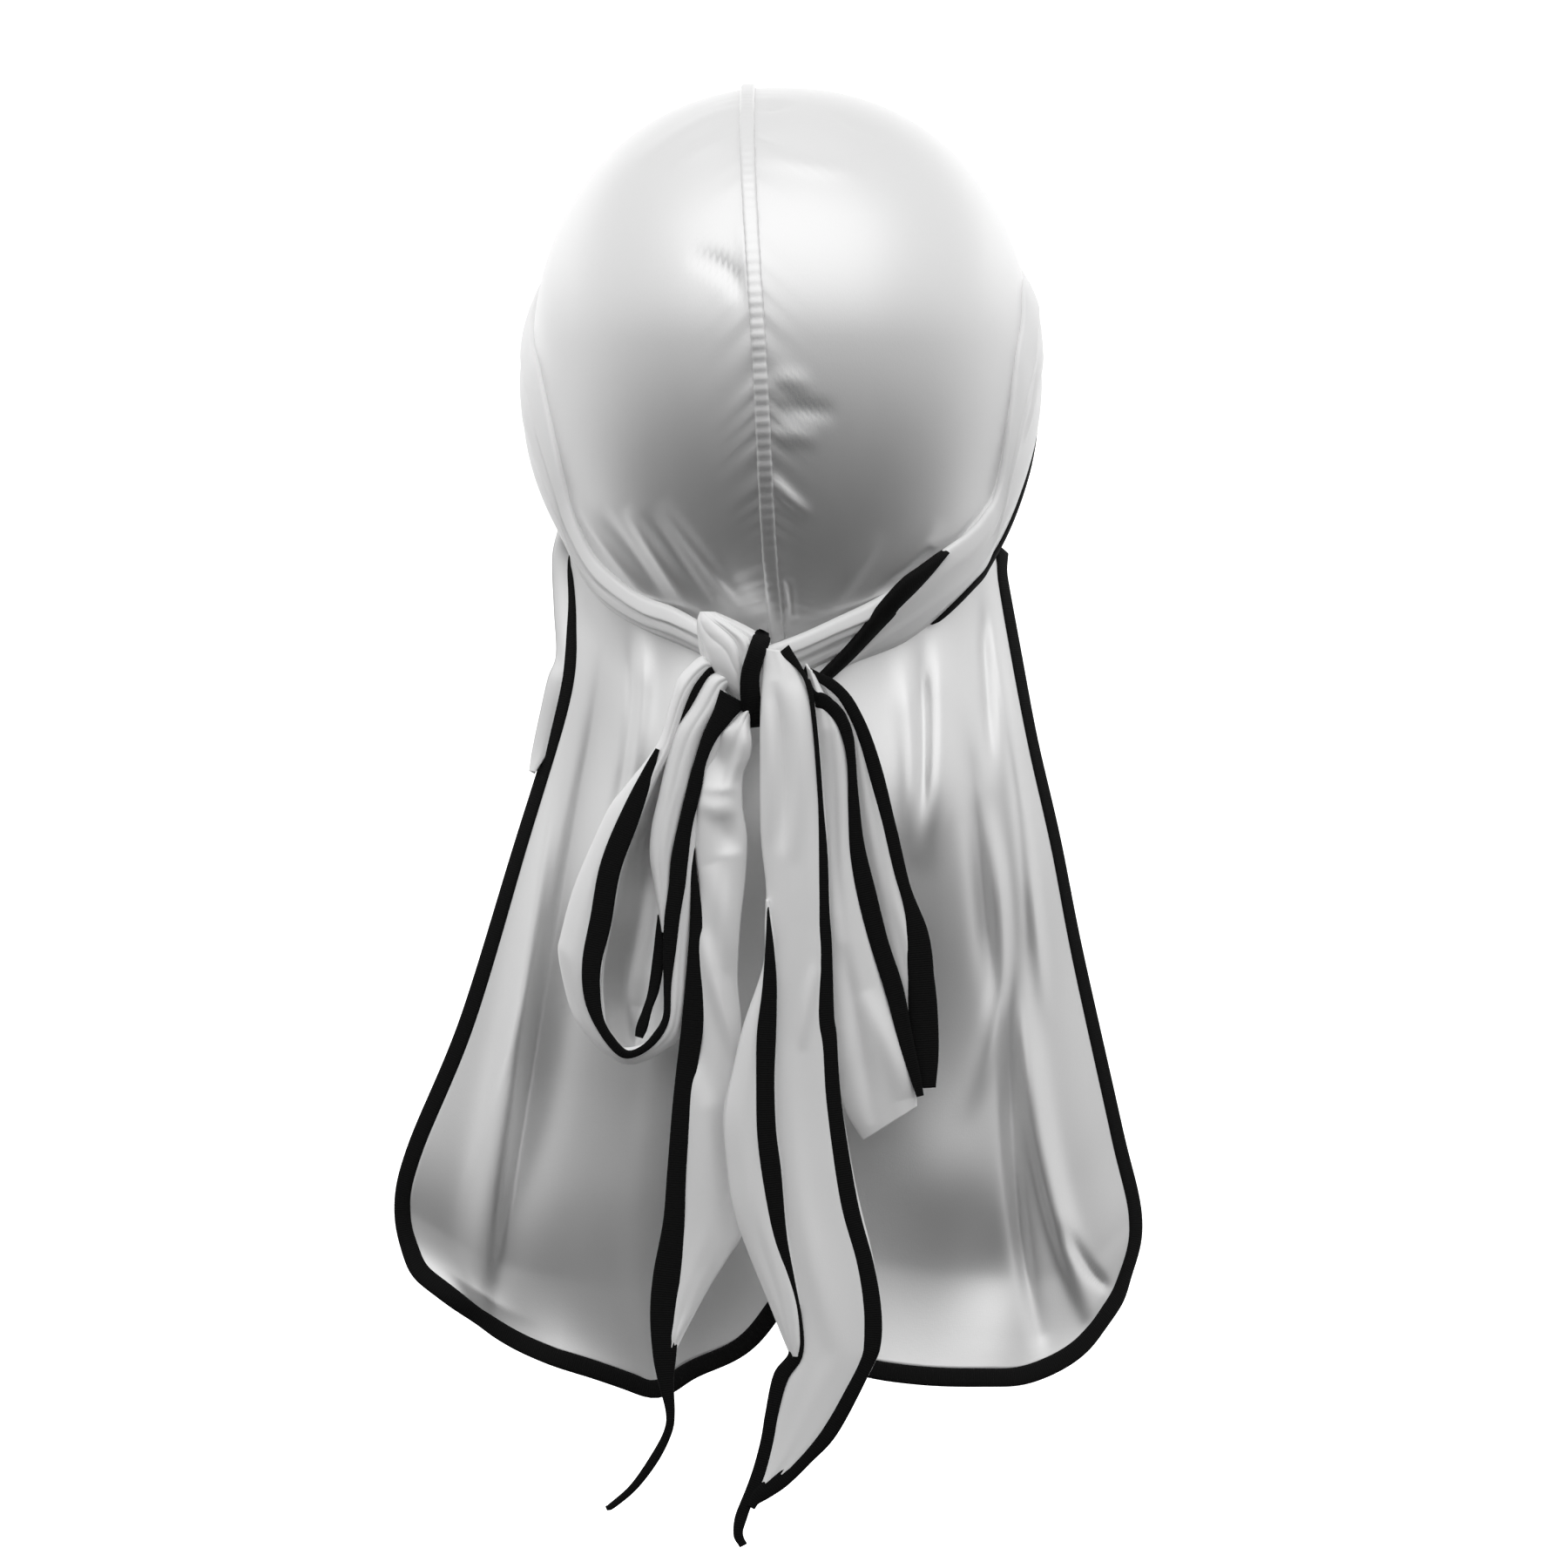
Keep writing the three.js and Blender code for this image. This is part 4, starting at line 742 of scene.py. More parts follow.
rings = tie(TIE_LEFT, -1, sewn(220), [
    (-0.75, -0.55, 0.1, 0.3, 1.3), (-0.1, -0.2, 0.07, 0.4, 1.5), (0.45, 0.5, 0.06, 0.35, 1.4),
    (0.1, 0.3, 0.05, 0.05, -0.5),
], 220)
piece = tube("tie_left", rings, PAINTED_LIGHTER_SATIN)
fasten(piece, "strap_left")

rings = tie(TIE_RIGHT, 1, sewn(240), [
    (-0.7, -0.6, 0.1, 0.3, 0.8), (0.0, 0.1, 0.07, 0.4, 0.9), (0.55, 0.5, 0.06, 0.3, 1.0), (0.3, -0.2, 0.05, 0.06, -0.6),
], 240)
piece = tube("tie_right", rings, PAINTED_LIGHTER_SATIN)
fasten(piece, "strap_right")

piece = tube("tie_right_tape", tie(LOWER_TAPE, 1, 2.4, [], 240, 1.2), BLACK_TAPE)
fasten(piece, "strap_right_binding")

rings = tie(TIE_TURNED, 1, 2.3, [
    (0.55, 0.4, 0.2, 0.3, 0.8), (-0.2, -0.35, 0.3, 0.12, 0.7), (-0.7, -0.7, 0.1, 0.2, 0.5),
], 150)
piece = tube("tie_right_turned", rings, PAINTED_LIGHTER_SATIN)
fasten(piece, "strap_right_fold")
piece = tube("tie_right_turned_tape", tie(TURNED_TAPE, 1, 2.4, [(0, 0, 0.5, 0.5, 0.3)], 110), BLACK_TAPE)
fasten(piece, "strap_right_fold_binding")

# Bow: the straps' long ends, two hanging loops and two tails of satin with taped edges, tied by the knot at the nape.
# The left loop is a ring whose cloth is cupped inwards; the right loop is folded flat; the tails hang to narrow ends.


def strip(rows, bulge, roll=0.8, columns=30, steps=200):
    """Grid of a hanging ribbon between two edges. A row is x and z of the left and of the right edge, and how far each
    is in front of the bow's plane; across, the depth is that of a parabola of height bulge, and both edges roll back."""
    x1, z1, x2, z2, near1, near2 = (column[:, None] for column in through(rows, np.linspace(0, 1, steps)).T)
    s = np.linspace(0, 1, columns)[None, :]
    near = near1 * (1 - s) + near2 * s + 4 * bulge * s * (1 - s) - roll * (np.exp(-s / 0.07) + np.exp((s - 1) / 0.07))
    return np.stack([x1 * (1 - s) + x2 * s, BOW_PLANE - near, z1 * (1 - s) + z2 * s], -1)


def raised(grid, rows):
    """The grid with its creases and hollows of the back view taken towards the camera side."""
    lifted = grid.copy()
    lifted[..., 1] -= creases(grid, rows)
    return lifted


BOW_WALL, BOW_TAPE_THICK = 0.7, 1.5


def ribbon(name, grids, node, finish=None):
    """One satin piece of strips that lie on each other or meet at a fold, each with its own place in the UV map."""
    points, faces, uv = [], [], []
    count, shift = 0, 0.0
    for grid in grids:
        rows, columns = grid.shape[:2]
        run = np.linspace(0, 1, rows)[:, None]
        share = np.linspace(0, 1, columns)[None, :]
        wave = np.sin(2 * pi * (1.6 * share + 0.5 * np.sin(5 * run)))
        wave = wave + 0.5 * np.sin(2 * pi * (3.1 * share + run * 1.3) + 1)
        grid = grid + grid_normals(grid) * (0.14 * wave * np.sin(pi * share))[..., None]
        corner = (np.arange(rows - 1)[:, None] * columns + np.arange(columns - 1)).ravel()
        faces.append(count + np.stack([corner, corner + 1, corner + columns + 1, corner + columns], -1))
        v = np.concatenate([[0], np.cumsum(np.linalg.norm(np.diff(grid, axis=0), axis=-1).mean(1))])
        u = np.concatenate([[0], np.cumsum(np.linalg.norm(np.diff(grid, axis=1), axis=-1).mean(0))]) + shift
        uv.append(np.stack(np.broadcast_arrays(u[None, :], v[:, None]), -1).reshape(-1, 2) * MM)
        points.append(grid.reshape(-1, 3))
        count += rows * columns
        shift = u[-1] + 3
    points, faces, uv = (np.concatenate(part) for part in (points, faces, uv))
    piece = piece_of(name, points, faces, uv, finish or PAINTED_LIGHTER_SATIN, BOW_WALL)
    fasten(piece, node)


def laces(name, tables, node):
    """Tape pieces between an outer and an inner edge in the back view: flat closed bands along their middle line."""
    for number, rows in enumerate(tables):
        x1, z1, x2, z2, near1, near2 = through(rows, np.linspace(0, 1, 260)).T
        first = np.stack([x1, BOW_PLANE - near1, z1], -1)
        second = np.stack([x2, BOW_PLANE - near2, z2], -1)
        middle = soften((first + second) / 2, 2)
        along = unit(np.gradient(middle, axis=0))
        side = second - first
        side = side - (side * along).sum(-1, keepdims=True) * along
        width = np.maximum(np.linalg.norm(side, axis=-1), 0.5)
        side = unit(soften(unit(side), 4))
        up = unit(np.cross(along, side))
        piece = band(name + ("_end" if number else ""), middle, side, up, width, BOW_TAPE_THICK, BLACK_TAPE)
        fasten(piece, node)


# Left loop: its outer band, its inner face, and the white part of its right run.
LOOP_BAND = [
    (-23, -184, -20.3, -186.6, 4, 5), (-24.9, -182.6, -23, -187.2, 4.9, 5.9),
    (-28.9, -185.8, -27, -191.5, 5.8, 6.8), (-32.1, -190.1, -29.9, -197.3, 6.8, 7.8),
    (-34.8, -199.2, -32.4, -204.8, 6.5, 8.2), (-36.9, -206.7, -35, -212.3, 5.9, 8.5),
    (-40.9, -213.4, -39, -220.1, 5.3, 8.8), (-47.6, -221.7, -44.1, -231.6, 5, 9),
    (-52.9, -228.6, -48.1, -242, 5, 9), (-58, -239.3, -50.8, -251.4, 5, 9), (-63.9, -253.5, -52.9, -264.7, 5, 9),
    (-67.7, -267.4, -55.1, -276.8, 5, 9), (-68.5, -274.1, -55.6, -284.8, 5, 9),
    (-65.2, -289.1, -54.8, -294.1, 5, 9), (-61.5, -296.3, -53.5, -298.7, 5, 9),
    (-54.8, -303.5, -51.3, -301.4, 5, 9), (-48.4, -307.2, -47.6, -302.4, 5, 9),
    (-42.2, -306.2, -42.2, -301.1, 5.2, 9), (-36.4, -303, -38.8, -298.4, 5.5, 9),
    (-31.8, -298.7, -36.4, -292.8, 5.8, 9), (-29.7, -288.8, -35.3, -283.4, 6.2, 8.8),
    (-28.9, -275.4, -34.8, -270.1, 6.5, 8.5), (-27.3, -256.7, -33.2, -251.4, 6.8, 8.2),
    (-26.2, -238, -31, -235.3, 7, 8), (-24.1, -221.9, -28.9, -219.3, 7, 8), (-18.2, -208.6, -24.6, -206.7, 7, 8),
    (-11.2, -199.2, -18.2, -192.5, 7, 8),
]
LOOP_INSIDE = [
    (-22.2, -185.8, -19.3, -188.5, 5, 3), (-27, -191.5, -20.3, -195.2, 5.9, 3),
    (-32.4, -204.8, -26.2, -207.2, 6.7, 3), (-35.3, -212.9, -27.8, -213.9, 7.5, 3),
    (-39, -220.1, -28.9, -221.9, 8.1, 3), (-44.1, -231.6, -29.7, -231.3, 8.6, 3),
    (-48.1, -242, -30.5, -239.3, 8.6, 3), (-50.8, -251.4, -31.6, -250, 8.6, 3),
    (-52.9, -264.7, -32.6, -262.1, 8.6, 3.4), (-55.1, -276.8, -33.7, -272.7, 8.6, 3.9),
    (-55.6, -284.8, -34.8, -280.8, 8.5, 4.6), (-54.8, -294.1, -35.8, -288.8, 8.5, 5.4),
    (-53.5, -298.7, -37.4, -296.3, 8.3, 6.2), (-50.8, -302.4, -40.1, -300.8, 8.2, 6.9),
    (-47.1, -304, -43.3, -303.8, 8, 7.5),
]
LOOP_RUN = [
    (-19.3, -187.2, -15, -190.4, 7, 8), (-22.7, -189.3, -17.6, -192.5, 7.6, 8.4),
    (-27.5, -197.6, -20.1, -198.4, 8.2, 8.7), (-32.1, -204.8, -24.6, -206.7, 8.6, 9),
    (-34.8, -212.3, -27.3, -216.1, 8.4, 9), (-36.1, -217.9, -28.9, -223.3, 8.3, 9),
    (-37.7, -225.2, -30.5, -228.6, 8.2, 8.9), (-39.8, -234.5, -31.8, -235.3, 8.1, 8.8),
    (-40.4, -243.6, -33.4, -243.6, 8, 8.6), (-39, -252.7, -34.2, -252.7, 7.8, 8.3),
    (-37.4, -262.1, -35, -261, 7.6, 8), (-36.6, -266.9, -35.8, -266.9, 7.4, 7.6),
]
LOOP_LIP = [
    (-11.5, -198.4, -18.7, -191.2, 9, 9), (-15.5, -202.2, -20.9, -198.4, 9.2, 9.3),
    (-20.1, -207.8, -24.6, -206.7, 9.4, 9.6), (-23, -214.2, -27.5, -216.1, 9.6, 9.8),
    (-24.6, -222.5, -29.4, -223.3, 9.6, 9.8), (-27.5, -234.5, -32.1, -234.5, 9.6, 9.8),
    (-28.9, -245.5, -34, -243.6, 9.6, 9.8), (-29.7, -252.7, -34.8, -252.7, 9.7, 9.9),
    (-31.3, -262.1, -36.1, -262.1, 9.8, 10), (-32.6, -272.7, -36.6, -272.7, 9.8, 10),
    (-34, -283.2, -36.4, -283.2, 9.8, 10), (-34.5, -293.3, -36.6, -292.5, 9.8, 10),
    (-37.7, -299.8, -39.6, -297.9, 9.8, 10), (-43.1, -304.3, -43.1, -301.6, 9.7, 10),
    (-48.7, -305.4, -47.3, -303, 9.6, 10), (-53.5, -301.4, -51.1, -299.5, 9.6, 10),
    (-58.3, -293.6, -54.3, -294.1, 9.6, 10), (-61, -285.3, -55.6, -286.1, 9.6, 10),
    (-61.2, -274.9, -55.4, -276.8, 9.5, 9.9), (-58.8, -262.1, -52.4, -264.7, 9.5, 9.9),
    (-55.6, -245.2, -49.7, -248.9, 9.4, 9.8), (-48.4, -227.6, -44.4, -234, 9.2, 9.4),
    (-42.5, -216.6, -39.6, -218.7, 8.9, 9), (-38.8, -210.4, -37.7, -211.2, 8.6, 8.6),
]
LOOP_HOOK = [
    (-38.2, -261.2, -36.9, -262.1, 5.4, 6), (-38.8, -265.3, -36.4, -268.5, 5.4, 6.3),
    (-39.8, -274.9, -36.4, -276.5, 5.6, 6.6), (-41.2, -285, -37.7, -284.2, 6, 7),
    (-43.1, -291.5, -39.6, -289.6, 6.7, 7.4), (-44.9, -296, -41.2, -296, 7, 7.5),
    (-45.2, -298.7, -42.8, -299.5, 7, 7.4),
]
LOOP_SLIVER = [
    (-22.5, -185, -20.3, -187.7, 6, 6), (-24.1, -186.6, -22.5, -188.2, 6.2, 6.4),
    (-28.3, -191.7, -26.5, -195.7, 6.5, 6.7), (-31.6, -198.4, -29.9, -202.2, 6.9, 7.1),
    (-34, -204.8, -32.9, -208, 7.2, 7.4), (-35, -210.4, -34.8, -211.2, 7.4, 7.6),
]

inside = strip(LOOP_INSIDE, -8, 0.0)
inside = raised(inside, [(-43, -225, -40, -255, -45, -290, 4, 1.2)])
ribbon("bow_satin_left", [strip(LOOP_BAND, 1.6), strip(LOOP_RUN, 1.2)], "bow_loop_left")
# The loop's inner face takes the darker satin of the cap, not the lighter one of the bow: painted shade inside the
# cupped loop.
ribbon("bow_satin_left_inside", [inside], "bow_loop_left", WHITE_SATIN)
laces("bow_tape_left_front", [LOOP_LIP], "bow_loop_left_front_binding")
laces("bow_tape_left_back", [LOOP_HOOK, LOOP_SLIVER], "bow_loop_left_back_binding")

# Right loop: the front run, folded at the bottom, and the back run behind it.
RIGHT_FRONT = [
    (7.2, -184.5, 9.9, -188.5, 4.8, 4.8), (8.6, -192.5, 13.9, -196.5, 5.6, 6.2), (9.1, -208.6, 19, -206.4, 6.4, 7.2),
    (10.2, -227.3, 21.1, -221.9, 7.1, 7.6), (11.2, -248.7, 22.2, -243.3, 7.8, 7.6),
    (12.8, -270.1, 25.1, -259.4, 8, 7.6), (14.4, -291.5, 30.5, -279.4, 8, 7.5), (15.5, -304.8, 35, -294.7, 8, 7.2),
    (17.1, -312.9, 38.5, -306.2, 7.4, 6.5), (19.8, -322.2, 40.6, -314.2, 6.4, 5.7),
    (24.9, -330.8, 41.2, -320.3, 5, 5),
]
RIGHT_BACK = [
    (8, -186.6, 10.2, -188, 3, 3), (12.6, -192.5, 16.3, -190.9, 3, 3.2), (17.1, -199.2, 20.9, -195.5, 3, 3.4),
    (20.3, -207.2, 24.9, -202.7, 3, 3.4), (21.9, -219.3, 28.1, -211.2, 3, 3.4),
    (23.5, -235.3, 33.2, -228.6, 3, 3.4), (27.3, -254, 39, -254, 3, 3.4), (31.6, -271.4, 44.4, -271.4, 3.2, 3.5),
    (36.4, -288.8, 46.3, -288.8, 3.4, 3.6), (38.5, -302.2, 47.3, -303.5, 3.7, 3.8),
    (41.2, -315.5, 46, -313.9, 4, 4),
]
RIGHT_INNER_TAPE = [
    (6.4, -192.5, 7.5, -187.7, 6.8, 6.8), (9.9, -197.6, 9.6, -192, 7.3, 7.4), (13.9, -199.7, 13.9, -194.4, 7.7, 8),
    (17.1, -204, 18.2, -198.1, 8, 8.4), (19, -210.4, 20.9, -203.2, 8.1, 8.5),
    (20.1, -218.7, 22.2, -210.4, 8.2, 8.6), (20.3, -230.8, 23.5, -225.2, 8.2, 8.6),
    (20.9, -243.6, 25.1, -239.1, 8.2, 8.6), (23.3, -257.5, 28.3, -252.7, 8.2, 8.6),
    (26.7, -270.3, 32.4, -269.3, 8.1, 8.4), (31.6, -285.9, 36.9, -283.2, 8, 8.3),
    (35.6, -300.8, 39.8, -298.2, 7.7, 7.8), (38.8, -310.7, 42.2, -309.6, 7.1, 7.2),
    (41.2, -317.7, 43.3, -316.6, 6.6, 6.6),
]
RIGHT_OUTER_TAPE = [
    (5.9, -188.2, 7, -185, 4.4, 4.4), (9.4, -189.6, 11.2, -187.2, 4.4, 4.2), (13.1, -191.7, 16.8, -190.1, 4.4, 4.1),
    (16.8, -194.9, 21.4, -194.9, 4.4, 4), (20.3, -200.6, 25.4, -202.2, 4.3, 4),
    (23.3, -207.8, 28.6, -210.4, 4.2, 4), (25.9, -216.6, 32.4, -223.3, 4.2, 4),
    (29.7, -229.7, 36.1, -239.1, 4.2, 4), (33.4, -245.5, 39.8, -254.6, 4.2, 4),
    (36.9, -260.2, 45.2, -270.3, 4.4, 4.2), (38, -272.7, 47.1, -287.7, 4.5, 4.3),
    (38.5, -288.8, 48.1, -299.5, 4.7, 4.5), (39.6, -302.2, 48.1, -307.5, 5, 4.8),
    (41.7, -315, 47.1, -314.5, 5.2, 5),
]

front = raised(strip(RIGHT_FRONT, 1.4), [
    (18, -270, 24, -300, 27, -326, 2.6, -1.8), (25, -285, 33, -303, 38, -318, 3.5, 1.6),
    (12, -205, 14, -230, 14, -262, 4, -1.6),
])
ribbon("bow_satin_right", [front, strip(RIGHT_BACK, 1.0)], "bow_loop_right")
laces("bow_tape_right", [RIGHT_INNER_TAPE, RIGHT_OUTER_TAPE], "bow_loop_right_binding")

# Left tail: a ribbon that curls at the knot and hangs behind the centre tail, with its tape on the left.
LEFT_TAIL = [
    (-10.7, -197.3, -9.1, -198.4, 7, 7), (-14.2, -201.1, -10.2, -202.7, 7.8, 8.3),
    (-20.1, -206.7, -9.6, -208.6, 8.6, 9.6), (-24.6, -215, -10.2, -213.4, 8.5, 9.3),
    (-26.5, -223.3, -12.3, -219.3, 8.4, 9), (-26.7, -234.5, -12.3, -228.6, 8.4, 8.7),
    (-26.2, -244.7, -11, -238, 8.4, 8.4), (-25.4, -254, -11.5, -250, 8.2, 8),
    (-26.7, -270.1, -13.1, -264.7, 8, 7.6), (-27.5, -286.1, -13.9, -280.8, 7.8, 7.3),
    (-28.9, -299.5, -12.8, -294.1, 7.6, 7), (-30.5, -312.9, -12.8, -307.5, 7.4, 6.8),
    (-31.6, -328.9, -13.9, -326.2, 7.2, 6.6), (-32.6, -344.9, -12.8, -344.9, 7.1, 6.5),
    (-33.7, -355.6, -12.3, -358.9, 7, 6.4), (-35.3, -366.3, -16.6, -366.3, 7, 6.4),
    (-36.1, -377, -23, -376.5, 7, 6.4), (-35.8, -387.7, -28.9, -387.2, 6.8, 6.4),
    (-35.3, -395.8, -32.6, -394.4, 6.6, 6.4),
]
LEFT_TAIL_TAPE = [
    (-27.3, -238, -26.7, -237.5, 7.2, 7.2), (-28.1, -244.7, -26.5, -244.7, 7.7, 7.8),
    (-28.3, -252.7, -25.1, -257.5, 8.2, 8.4), (-28.6, -262.1, -23.5, -268.7, 8.3, 8.5),
    (-28.9, -271.1, -23.3, -276.8, 8.4, 8.6), (-30.8, -294.1, -24.3, -297.1, 8.3, 8.5),
    (-33.4, -316.9, -27.5, -318.2, 8.2, 8.4), (-35.3, -339.9, -29.4, -339.9, 8.1, 8.3),
    (-36.6, -355.6, -29.9, -355.6, 8, 8.2), (-39.6, -371.7, -30.8, -371.7, 7.8, 8),
    (-40.6, -384, -31.6, -382.4, 7.6, 7.8), (-39.8, -395.8, -32.4, -395.8, 7.5, 7.7),
    (-38.2, -404.3, -33.2, -404.3, 7.4, 7.6), (-35.8, -413.9, -32.9, -413.9, 7.3, 7.4),
    (-36.4, -419.8, -33.7, -420.1, 7.2, 7.2), (-40.4, -427.3, -37.7, -428.6, 7.1, 7.1),
    (-46.5, -436.1, -44.4, -437.5, 7, 7), (-52.7, -441.7, -51.3, -443.3, 7, 7),
    (-54.3, -442.8, -53.7, -444.2, 7, 7),
]

tail = raised(strip(LEFT_TAIL, 1.6), [
    (-21, -206, -19.5, -214, -19, -223, 4.4, -3.4), (-12.6, -202, -12, -212, -19, -225, 2, 1.2),
    (-18.5, -231, -17, -237, -16, -243, 3.4, -1.6), (-26, -226, -21, -229, -15, -227, 2.4, 0.8),
    (-22, -246, -18, -262, -16, -280, 4, 1.5), (-24.5, -266, -20, -285, -14, -306, 2.4, 1.9),
    (-28, -280, -26, -300, -22, -320, 3, -1.2),
    (-27, -300, -25, -330, -24, -370, 4, 1.2), (-20, -320, -17, -345, -16, -372, 3, -1.4),
    (-13, -358, -22, -378, -33, -393, 2.2, 1.4),
])
ribbon("tail_satin_left", [tail], "tail_left")
laces("tail_tape_left", [LEFT_TAIL_TAPE], "tail_left_binding")

# Centre tail: the front ribbon, whose left margin is turned over to the front from half way down.
CENTRE_TAIL = [
    (-6.4, -179.7, 2.7, -181.3, 8, 8), (-5.9, -186.1, 7, -189.3, 9.7, 9.5), (-6.4, -195.2, 9.6, -196.5, 11.4, 11.1),
    (-6.7, -212.3, 11.2, -209.9, 12.3, 11.8), (-6.4, -236.9, 13.4, -235.3, 12.7, 12.2),
    (-4.8, -253.2, 14.2, -252.7, 13, 12.4), (-5.1, -264.7, 14.7, -264.7, 13, 12.4),
    (-5.3, -275.4, 15.2, -275.4, 13, 12.4), (-11.5, -294.7, 15.5, -294.1, 13, 12.4),
    (-14.7, -307.5, 16.6, -307.5, 13, 12.4), (-17.9, -322.2, 18.5, -322.2, 13, 12.4),
    (-16.6, -339.9, 21.4, -339.6, 13, 12.4), (-14.7, -351.9, 24.1, -351.9, 13, 12.4),
    (-10.2, -364.7, 27.3, -364.7, 13, 12.4), (-4.5, -378.6, 29.7, -379.7, 13, 12.4),
    (0.3, -390.4, 29.9, -393.1, 13, 12.4), (1.9, -396.3, 27.8, -399, 13, 12.4),
    (-1.3, -403.8, 23.3, -407.8, 12.9, 12.4), (-4.3, -413.7, 18.7, -415.8, 12.7, 12.4),
    (-5.9, -422, 12.8, -423.8, 12.6, 12.4), (-7.5, -430.5, 5.3, -431, 12.5, 12.4),
    (-8, -435.9, -2.1, -435.3, 12.4, 12.4),
]
CENTRE_MARGIN = [
    (-4.8, -256.7, -4.3, -257.2, 13.2, 13.2), (-5.1, -264.7, -2.9, -268.7, 13.6, 14.3),
    (-5.6, -276.8, -2.1, -280.8, 14, 15.2), (-11.5, -294.7, -2.4, -293.9, 14.1, 15.5),
    (-14.7, -307.5, -2.4, -312.3, 14.2, 15.6), (-17.6, -323.6, -2.1, -327, 14.2, 15.6),
    (-16.6, -339.9, -0.5, -339.9, 14.2, 15.6), (-14.7, -351.9, 0.8, -354.3, 14.2, 15.6),
    (-10.2, -364.7, 2.7, -366.3, 14.1, 15.5), (-4.5, -378.6, 5.1, -379.7, 14, 15.2),
    (0.3, -390.4, 5.6, -391.7, 13.7, 14.7), (2.7, -396.3, 4.8, -396.3, 13.4, 14),
]
CENTRE_LEFT_TAPE = [
    (-4.8, -257.8, -4.3, -258.3, 13.8, 13.8), (-4.8, -262.1, -3.7, -262.6, 14.8, 14.9),
    (-5.3, -273, -2.4, -272.2, 15.9, 16.1), (-6.2, -285, -1.6, -283.2, 16.1, 16.3),
    (-7.8, -297.9, -1.9, -297.9, 16.2, 16.4), (-8, -312.3, -2.4, -312.3, 16.2, 16.4),
    (-7.8, -327, -1.9, -327, 16.2, 16.4), (-6.4, -339.9, -0.3, -339.9, 16, 16.2),
    (-3.2, -358.3, 1.3, -358.3, 15.7, 15.9), (0.5, -372.2, 3.7, -372.2, 15.2, 15.4),
    (2.9, -385.9, 6.2, -385.9, 14.4, 14.6), (1.9, -395.2, 6.2, -396.3, 13.9, 14.1),
    (-2.7, -401.6, 1.6, -403.8, 13.6, 13.8), (-5.3, -413.7, -1.3, -414.5, 13.4, 13.5),
    (-6.7, -422, -2.7, -423, 13.3, 13.3), (-9.4, -431.9, -5.3, -433.7, 13.2, 13.2),
    (-12.8, -440.7, -8.6, -440.1, 13.1, 13.1), (-14.7, -446, -11, -446.6, 13, 13),
    (-15, -451.1, -12, -450.6, 13, 13), (-13.6, -453.8, -10.2, -454.6, 13, 13),
]
CENTRE_RIGHT_TAPE = [
    (-1.9, -180.8, 2.7, -179.7, 9, 9), (5.1, -187.2, 6.2, -186.1, 10.5, 10.3),
    (7.8, -193.9, 9.1, -192.5, 11.9, 11.6), (9.4, -205.9, 10.7, -204.8, 12.5, 12.1),
    (10.4, -219.3, 11.8, -217.7, 12.7, 12.3), (11, -230, 12.6, -228.6, 12.8, 12.4),
    (11, -244.7, 13.9, -243.3, 12.9, 12.5), (10.4, -259.4, 14.4, -259.4, 13, 12.6),
    (10.2, -271.1, 15.2, -271.1, 13, 12.6), (10.4, -291.5, 15.8, -291.5, 13, 12.6),
    (12.3, -302.2, 16.6, -298.4, 13, 12.6), (13.4, -319.5, 18.2, -319.5, 13, 12.6),
    (17.4, -349, 23, -349, 13, 12.6), (22.5, -367.4, 27.8, -367.4, 13, 12.6),
    (24.6, -381.3, 30.2, -381.3, 13, 12.6), (24.3, -392.3, 30.2, -392.3, 13, 12.6),
    (22.2, -398.4, 27.3, -400.3, 13, 12.6), (11.8, -416.6, 17.1, -419.8, 13.1, 12.8),
    (4.5, -425.2, 8.8, -428.9, 13.3, 13), (-3.2, -432.1, 1.3, -436.1, 13.4, 13.2),
    (-8.6, -436.9, -6.4, -441.2, 13.4, 13.2), (-10.7, -441.7, -8.6, -443.3, 13.4, 13.2),
]

face = raised(strip(CENTRE_TAIL, 1.4), [
    (-2.6, -190, 0.4, -215, -0.6, -243, 1.7, -2), (-5, -195, -3.6, -215, -4.6, -240, 1.8, 1.2),
    (3, -190, 5.4, -215, 3.6, -246, 2.2, 1.2),
    (10, -276, 7.5, -290, 6, -303, 1.4, 1), (3, -300, 6, -350, 16, -395, 3, 1),
])
ribbon("tail_satin_centre", [face, strip(CENTRE_MARGIN, 1.0)], "tail_centre")
laces("tail_tape_centre_left", [CENTRE_LEFT_TAPE], "tail_centre_left_binding")
laces("tail_tape_centre_right", [CENTRE_RIGHT_TAPE], "tail_centre_right_binding")

# Studio: a level camera behind the head, a pale floor painted darker at the front as shade, that bends up into a wall
# glowing as a light, white surroundings above, and one broad soft lamp over the camera.

VIEW_CENTRE = Vector((0.0005, -0.09, -0.2215))
VIEW_WIDTH, VIEW_DISTANCE = 0.4813, 2.0
camera = bpy.data.objects.new("camera", bpy.data.cameras.new("camera"))
camera.data.sensor_fit = "HORIZONTAL"
camera.data.angle = 2 * atan(VIEW_WIDTH / 2 / VIEW_DISTANCE)
camera.location = VIEW_CENTRE - Vector((0, VIEW_DISTANCE, 0))
camera.rotation_euler = (pi / 2, 0, 0)
bpy.context.scene.collection.objects.link(camera)
bpy.context.scene.camera = camera


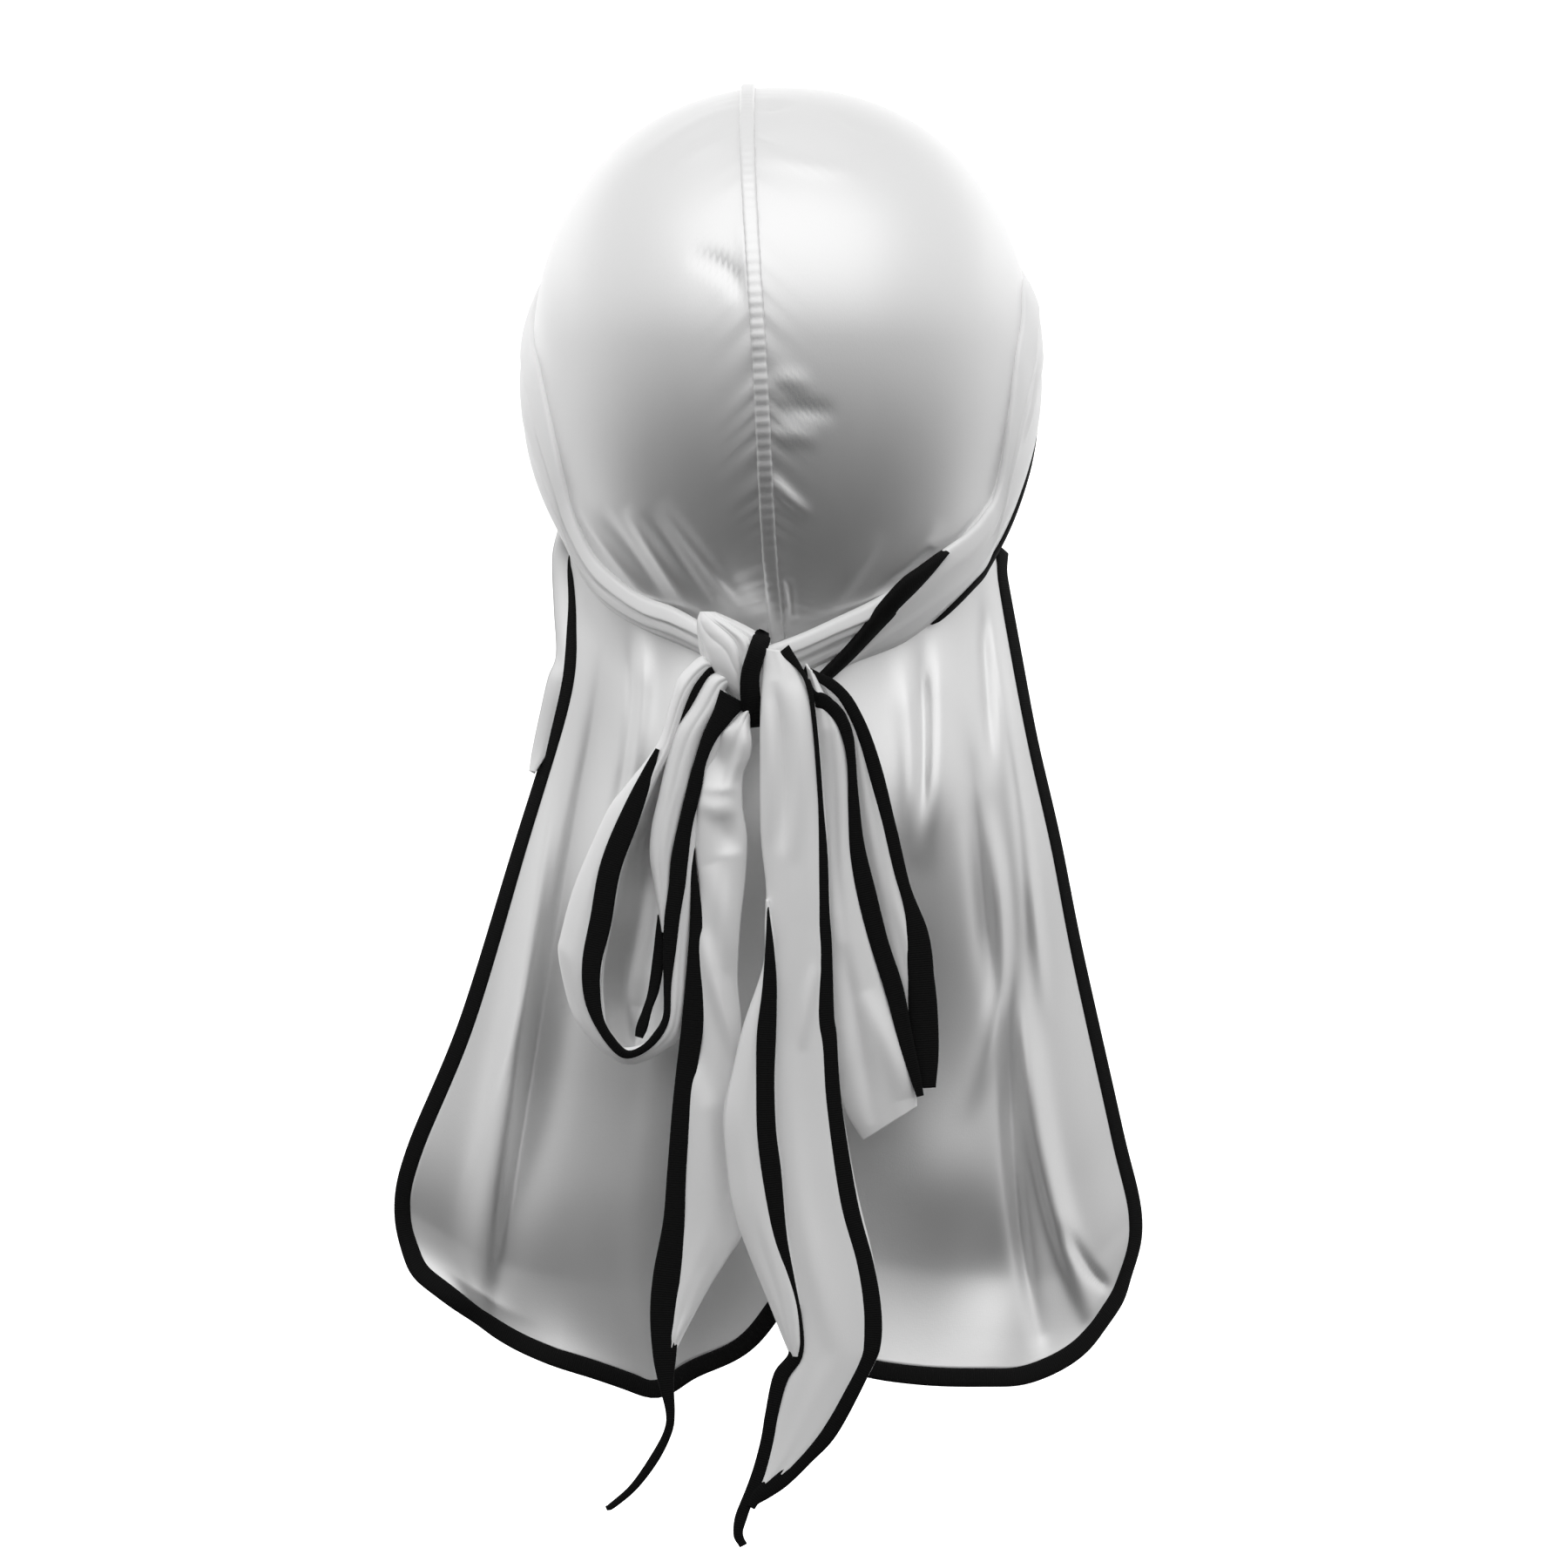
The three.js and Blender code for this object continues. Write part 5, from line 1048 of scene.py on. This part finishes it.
def pale_sweep(name):
    """Pale paper, painted darker near the front as painted shade for the satin to mirror. It glows as a light on the
    wall only:
    fully behind the object and high up, and little at the sides, so that the satin has something dark to mirror there."""
    finish = Finish(name)
    place = finish.node("ShaderNodeTexCoord", {}, {}, "Object")
    across, away, height = (
        finish.node("ShaderNodeSeparateXYZ", {}, {"Vector": place}, axis) for axis in ("X", "Y", "Z"))
    aside = finish.node("ShaderNodeMath", {"operation": "ABSOLUTE"}, {0: across})
    behind = finish.node("ShaderNodeValToRGB", {"stops": [(0.45, 0.9), (0.9, 0.08)]}, {"Fac": aside * 0.407})
    above = finish.node("ShaderNodeValToRGB", {"stops": [(0.45, 0.0), (0.75, 0.9)]}, {"Fac": height * 0.407 + 0.382})
    low = finish.node("ShaderNodeValToRGB", {"stops": [(0.0, 0.0), (0.04, 1.0)]}, {"Fac": height + 0.76})
    glow = finish.node("ShaderNodeMath", {"operation": "MAXIMUM"}, {0: behind * low, 1: above})
    # Base colour darker towards the front: painted shade, so that the satin mirrors something dark below.
    paper = finish.node("ShaderNodeValToRGB", {"stops": [(0.2, 0.14), (0.95, 0.85)]}, {"Fac": away + 0.3})
    return finish.surface({
        "Base Color": paper, "Roughness": 0.9, "Emission Color": glow, "Emission Strength": 1.0,
    })


# The wall stands farther off than any camera round the object, so the object is open to view from every side.
WALL, BEND, FLOOR = 2700.0, 800.0, -760.0
bend = np.radians(np.linspace(0, 90, 40))
rising = np.stack([WALL - BEND + BEND * np.sin(bend), FLOOR + BEND * (1 - np.cos(bend))], -1)
profile = np.concatenate([[[-550.0, FLOOR]], rising, [[WALL, 1700.0]]])
wide = np.array([-5400.0, 5400.0])
sweep = np.stack(np.broadcast_arrays(wide[None, :], profile[:, :1], profile[:, 1:]), -1)
floor = surface("floor_and_wall", sweep, pale_sweep("pale paper"))

world = bpy.data.worlds.new("white room")
world.use_nodes = True
world.node_tree.nodes.clear()
sky = Finish.__new__(Finish)
sky.tree = world.node_tree
look = sky.node("ShaderNodeTexCoord", {}, {}, "Generated")
toward = sky.node("ShaderNodeVectorMath", {"operation": "DOT_PRODUCT"}, {0: look, 1: (0.0, 0.1, 0.995)}, "Value")
glow = sky.node("ShaderNodeValToRGB", {"stops": [(0.34, 0.02), (0.46, 0.2), (0.55, 0.92)]}, {"Fac": toward * 0.5 + 0.5})
background = sky.node("ShaderNodeBackground", {}, {"Color": glow, "Strength": 1.0})
out = world.node_tree.nodes.new("ShaderNodeOutputWorld")
world.node_tree.links.new(background.socket, out.inputs["Surface"])
bpy.context.scene.world = world
bpy.context.scene.view_settings.view_transform = "Standard"


def lamp(name, place, aim, size, power):
    """Soft lamp with a width and a height at a place, turned to a point, all in metres."""
    light = bpy.data.lights.new(name, "AREA")
    light.shape = "RECTANGLE"
    light.size, light.size_y = size
    light.energy = power
    thing = bpy.data.objects.new(name, light)
    thing.location = place
    thing.rotation_euler = (Vector(aim) - Vector(place)).to_track_quat("-Z", "Y").to_euler()
    bpy.context.scene.collection.objects.link(thing)


lamp("front box", (0.0, -1.25, 1.15), (0, 0, -0.1), (3.4, 2.0), 9)
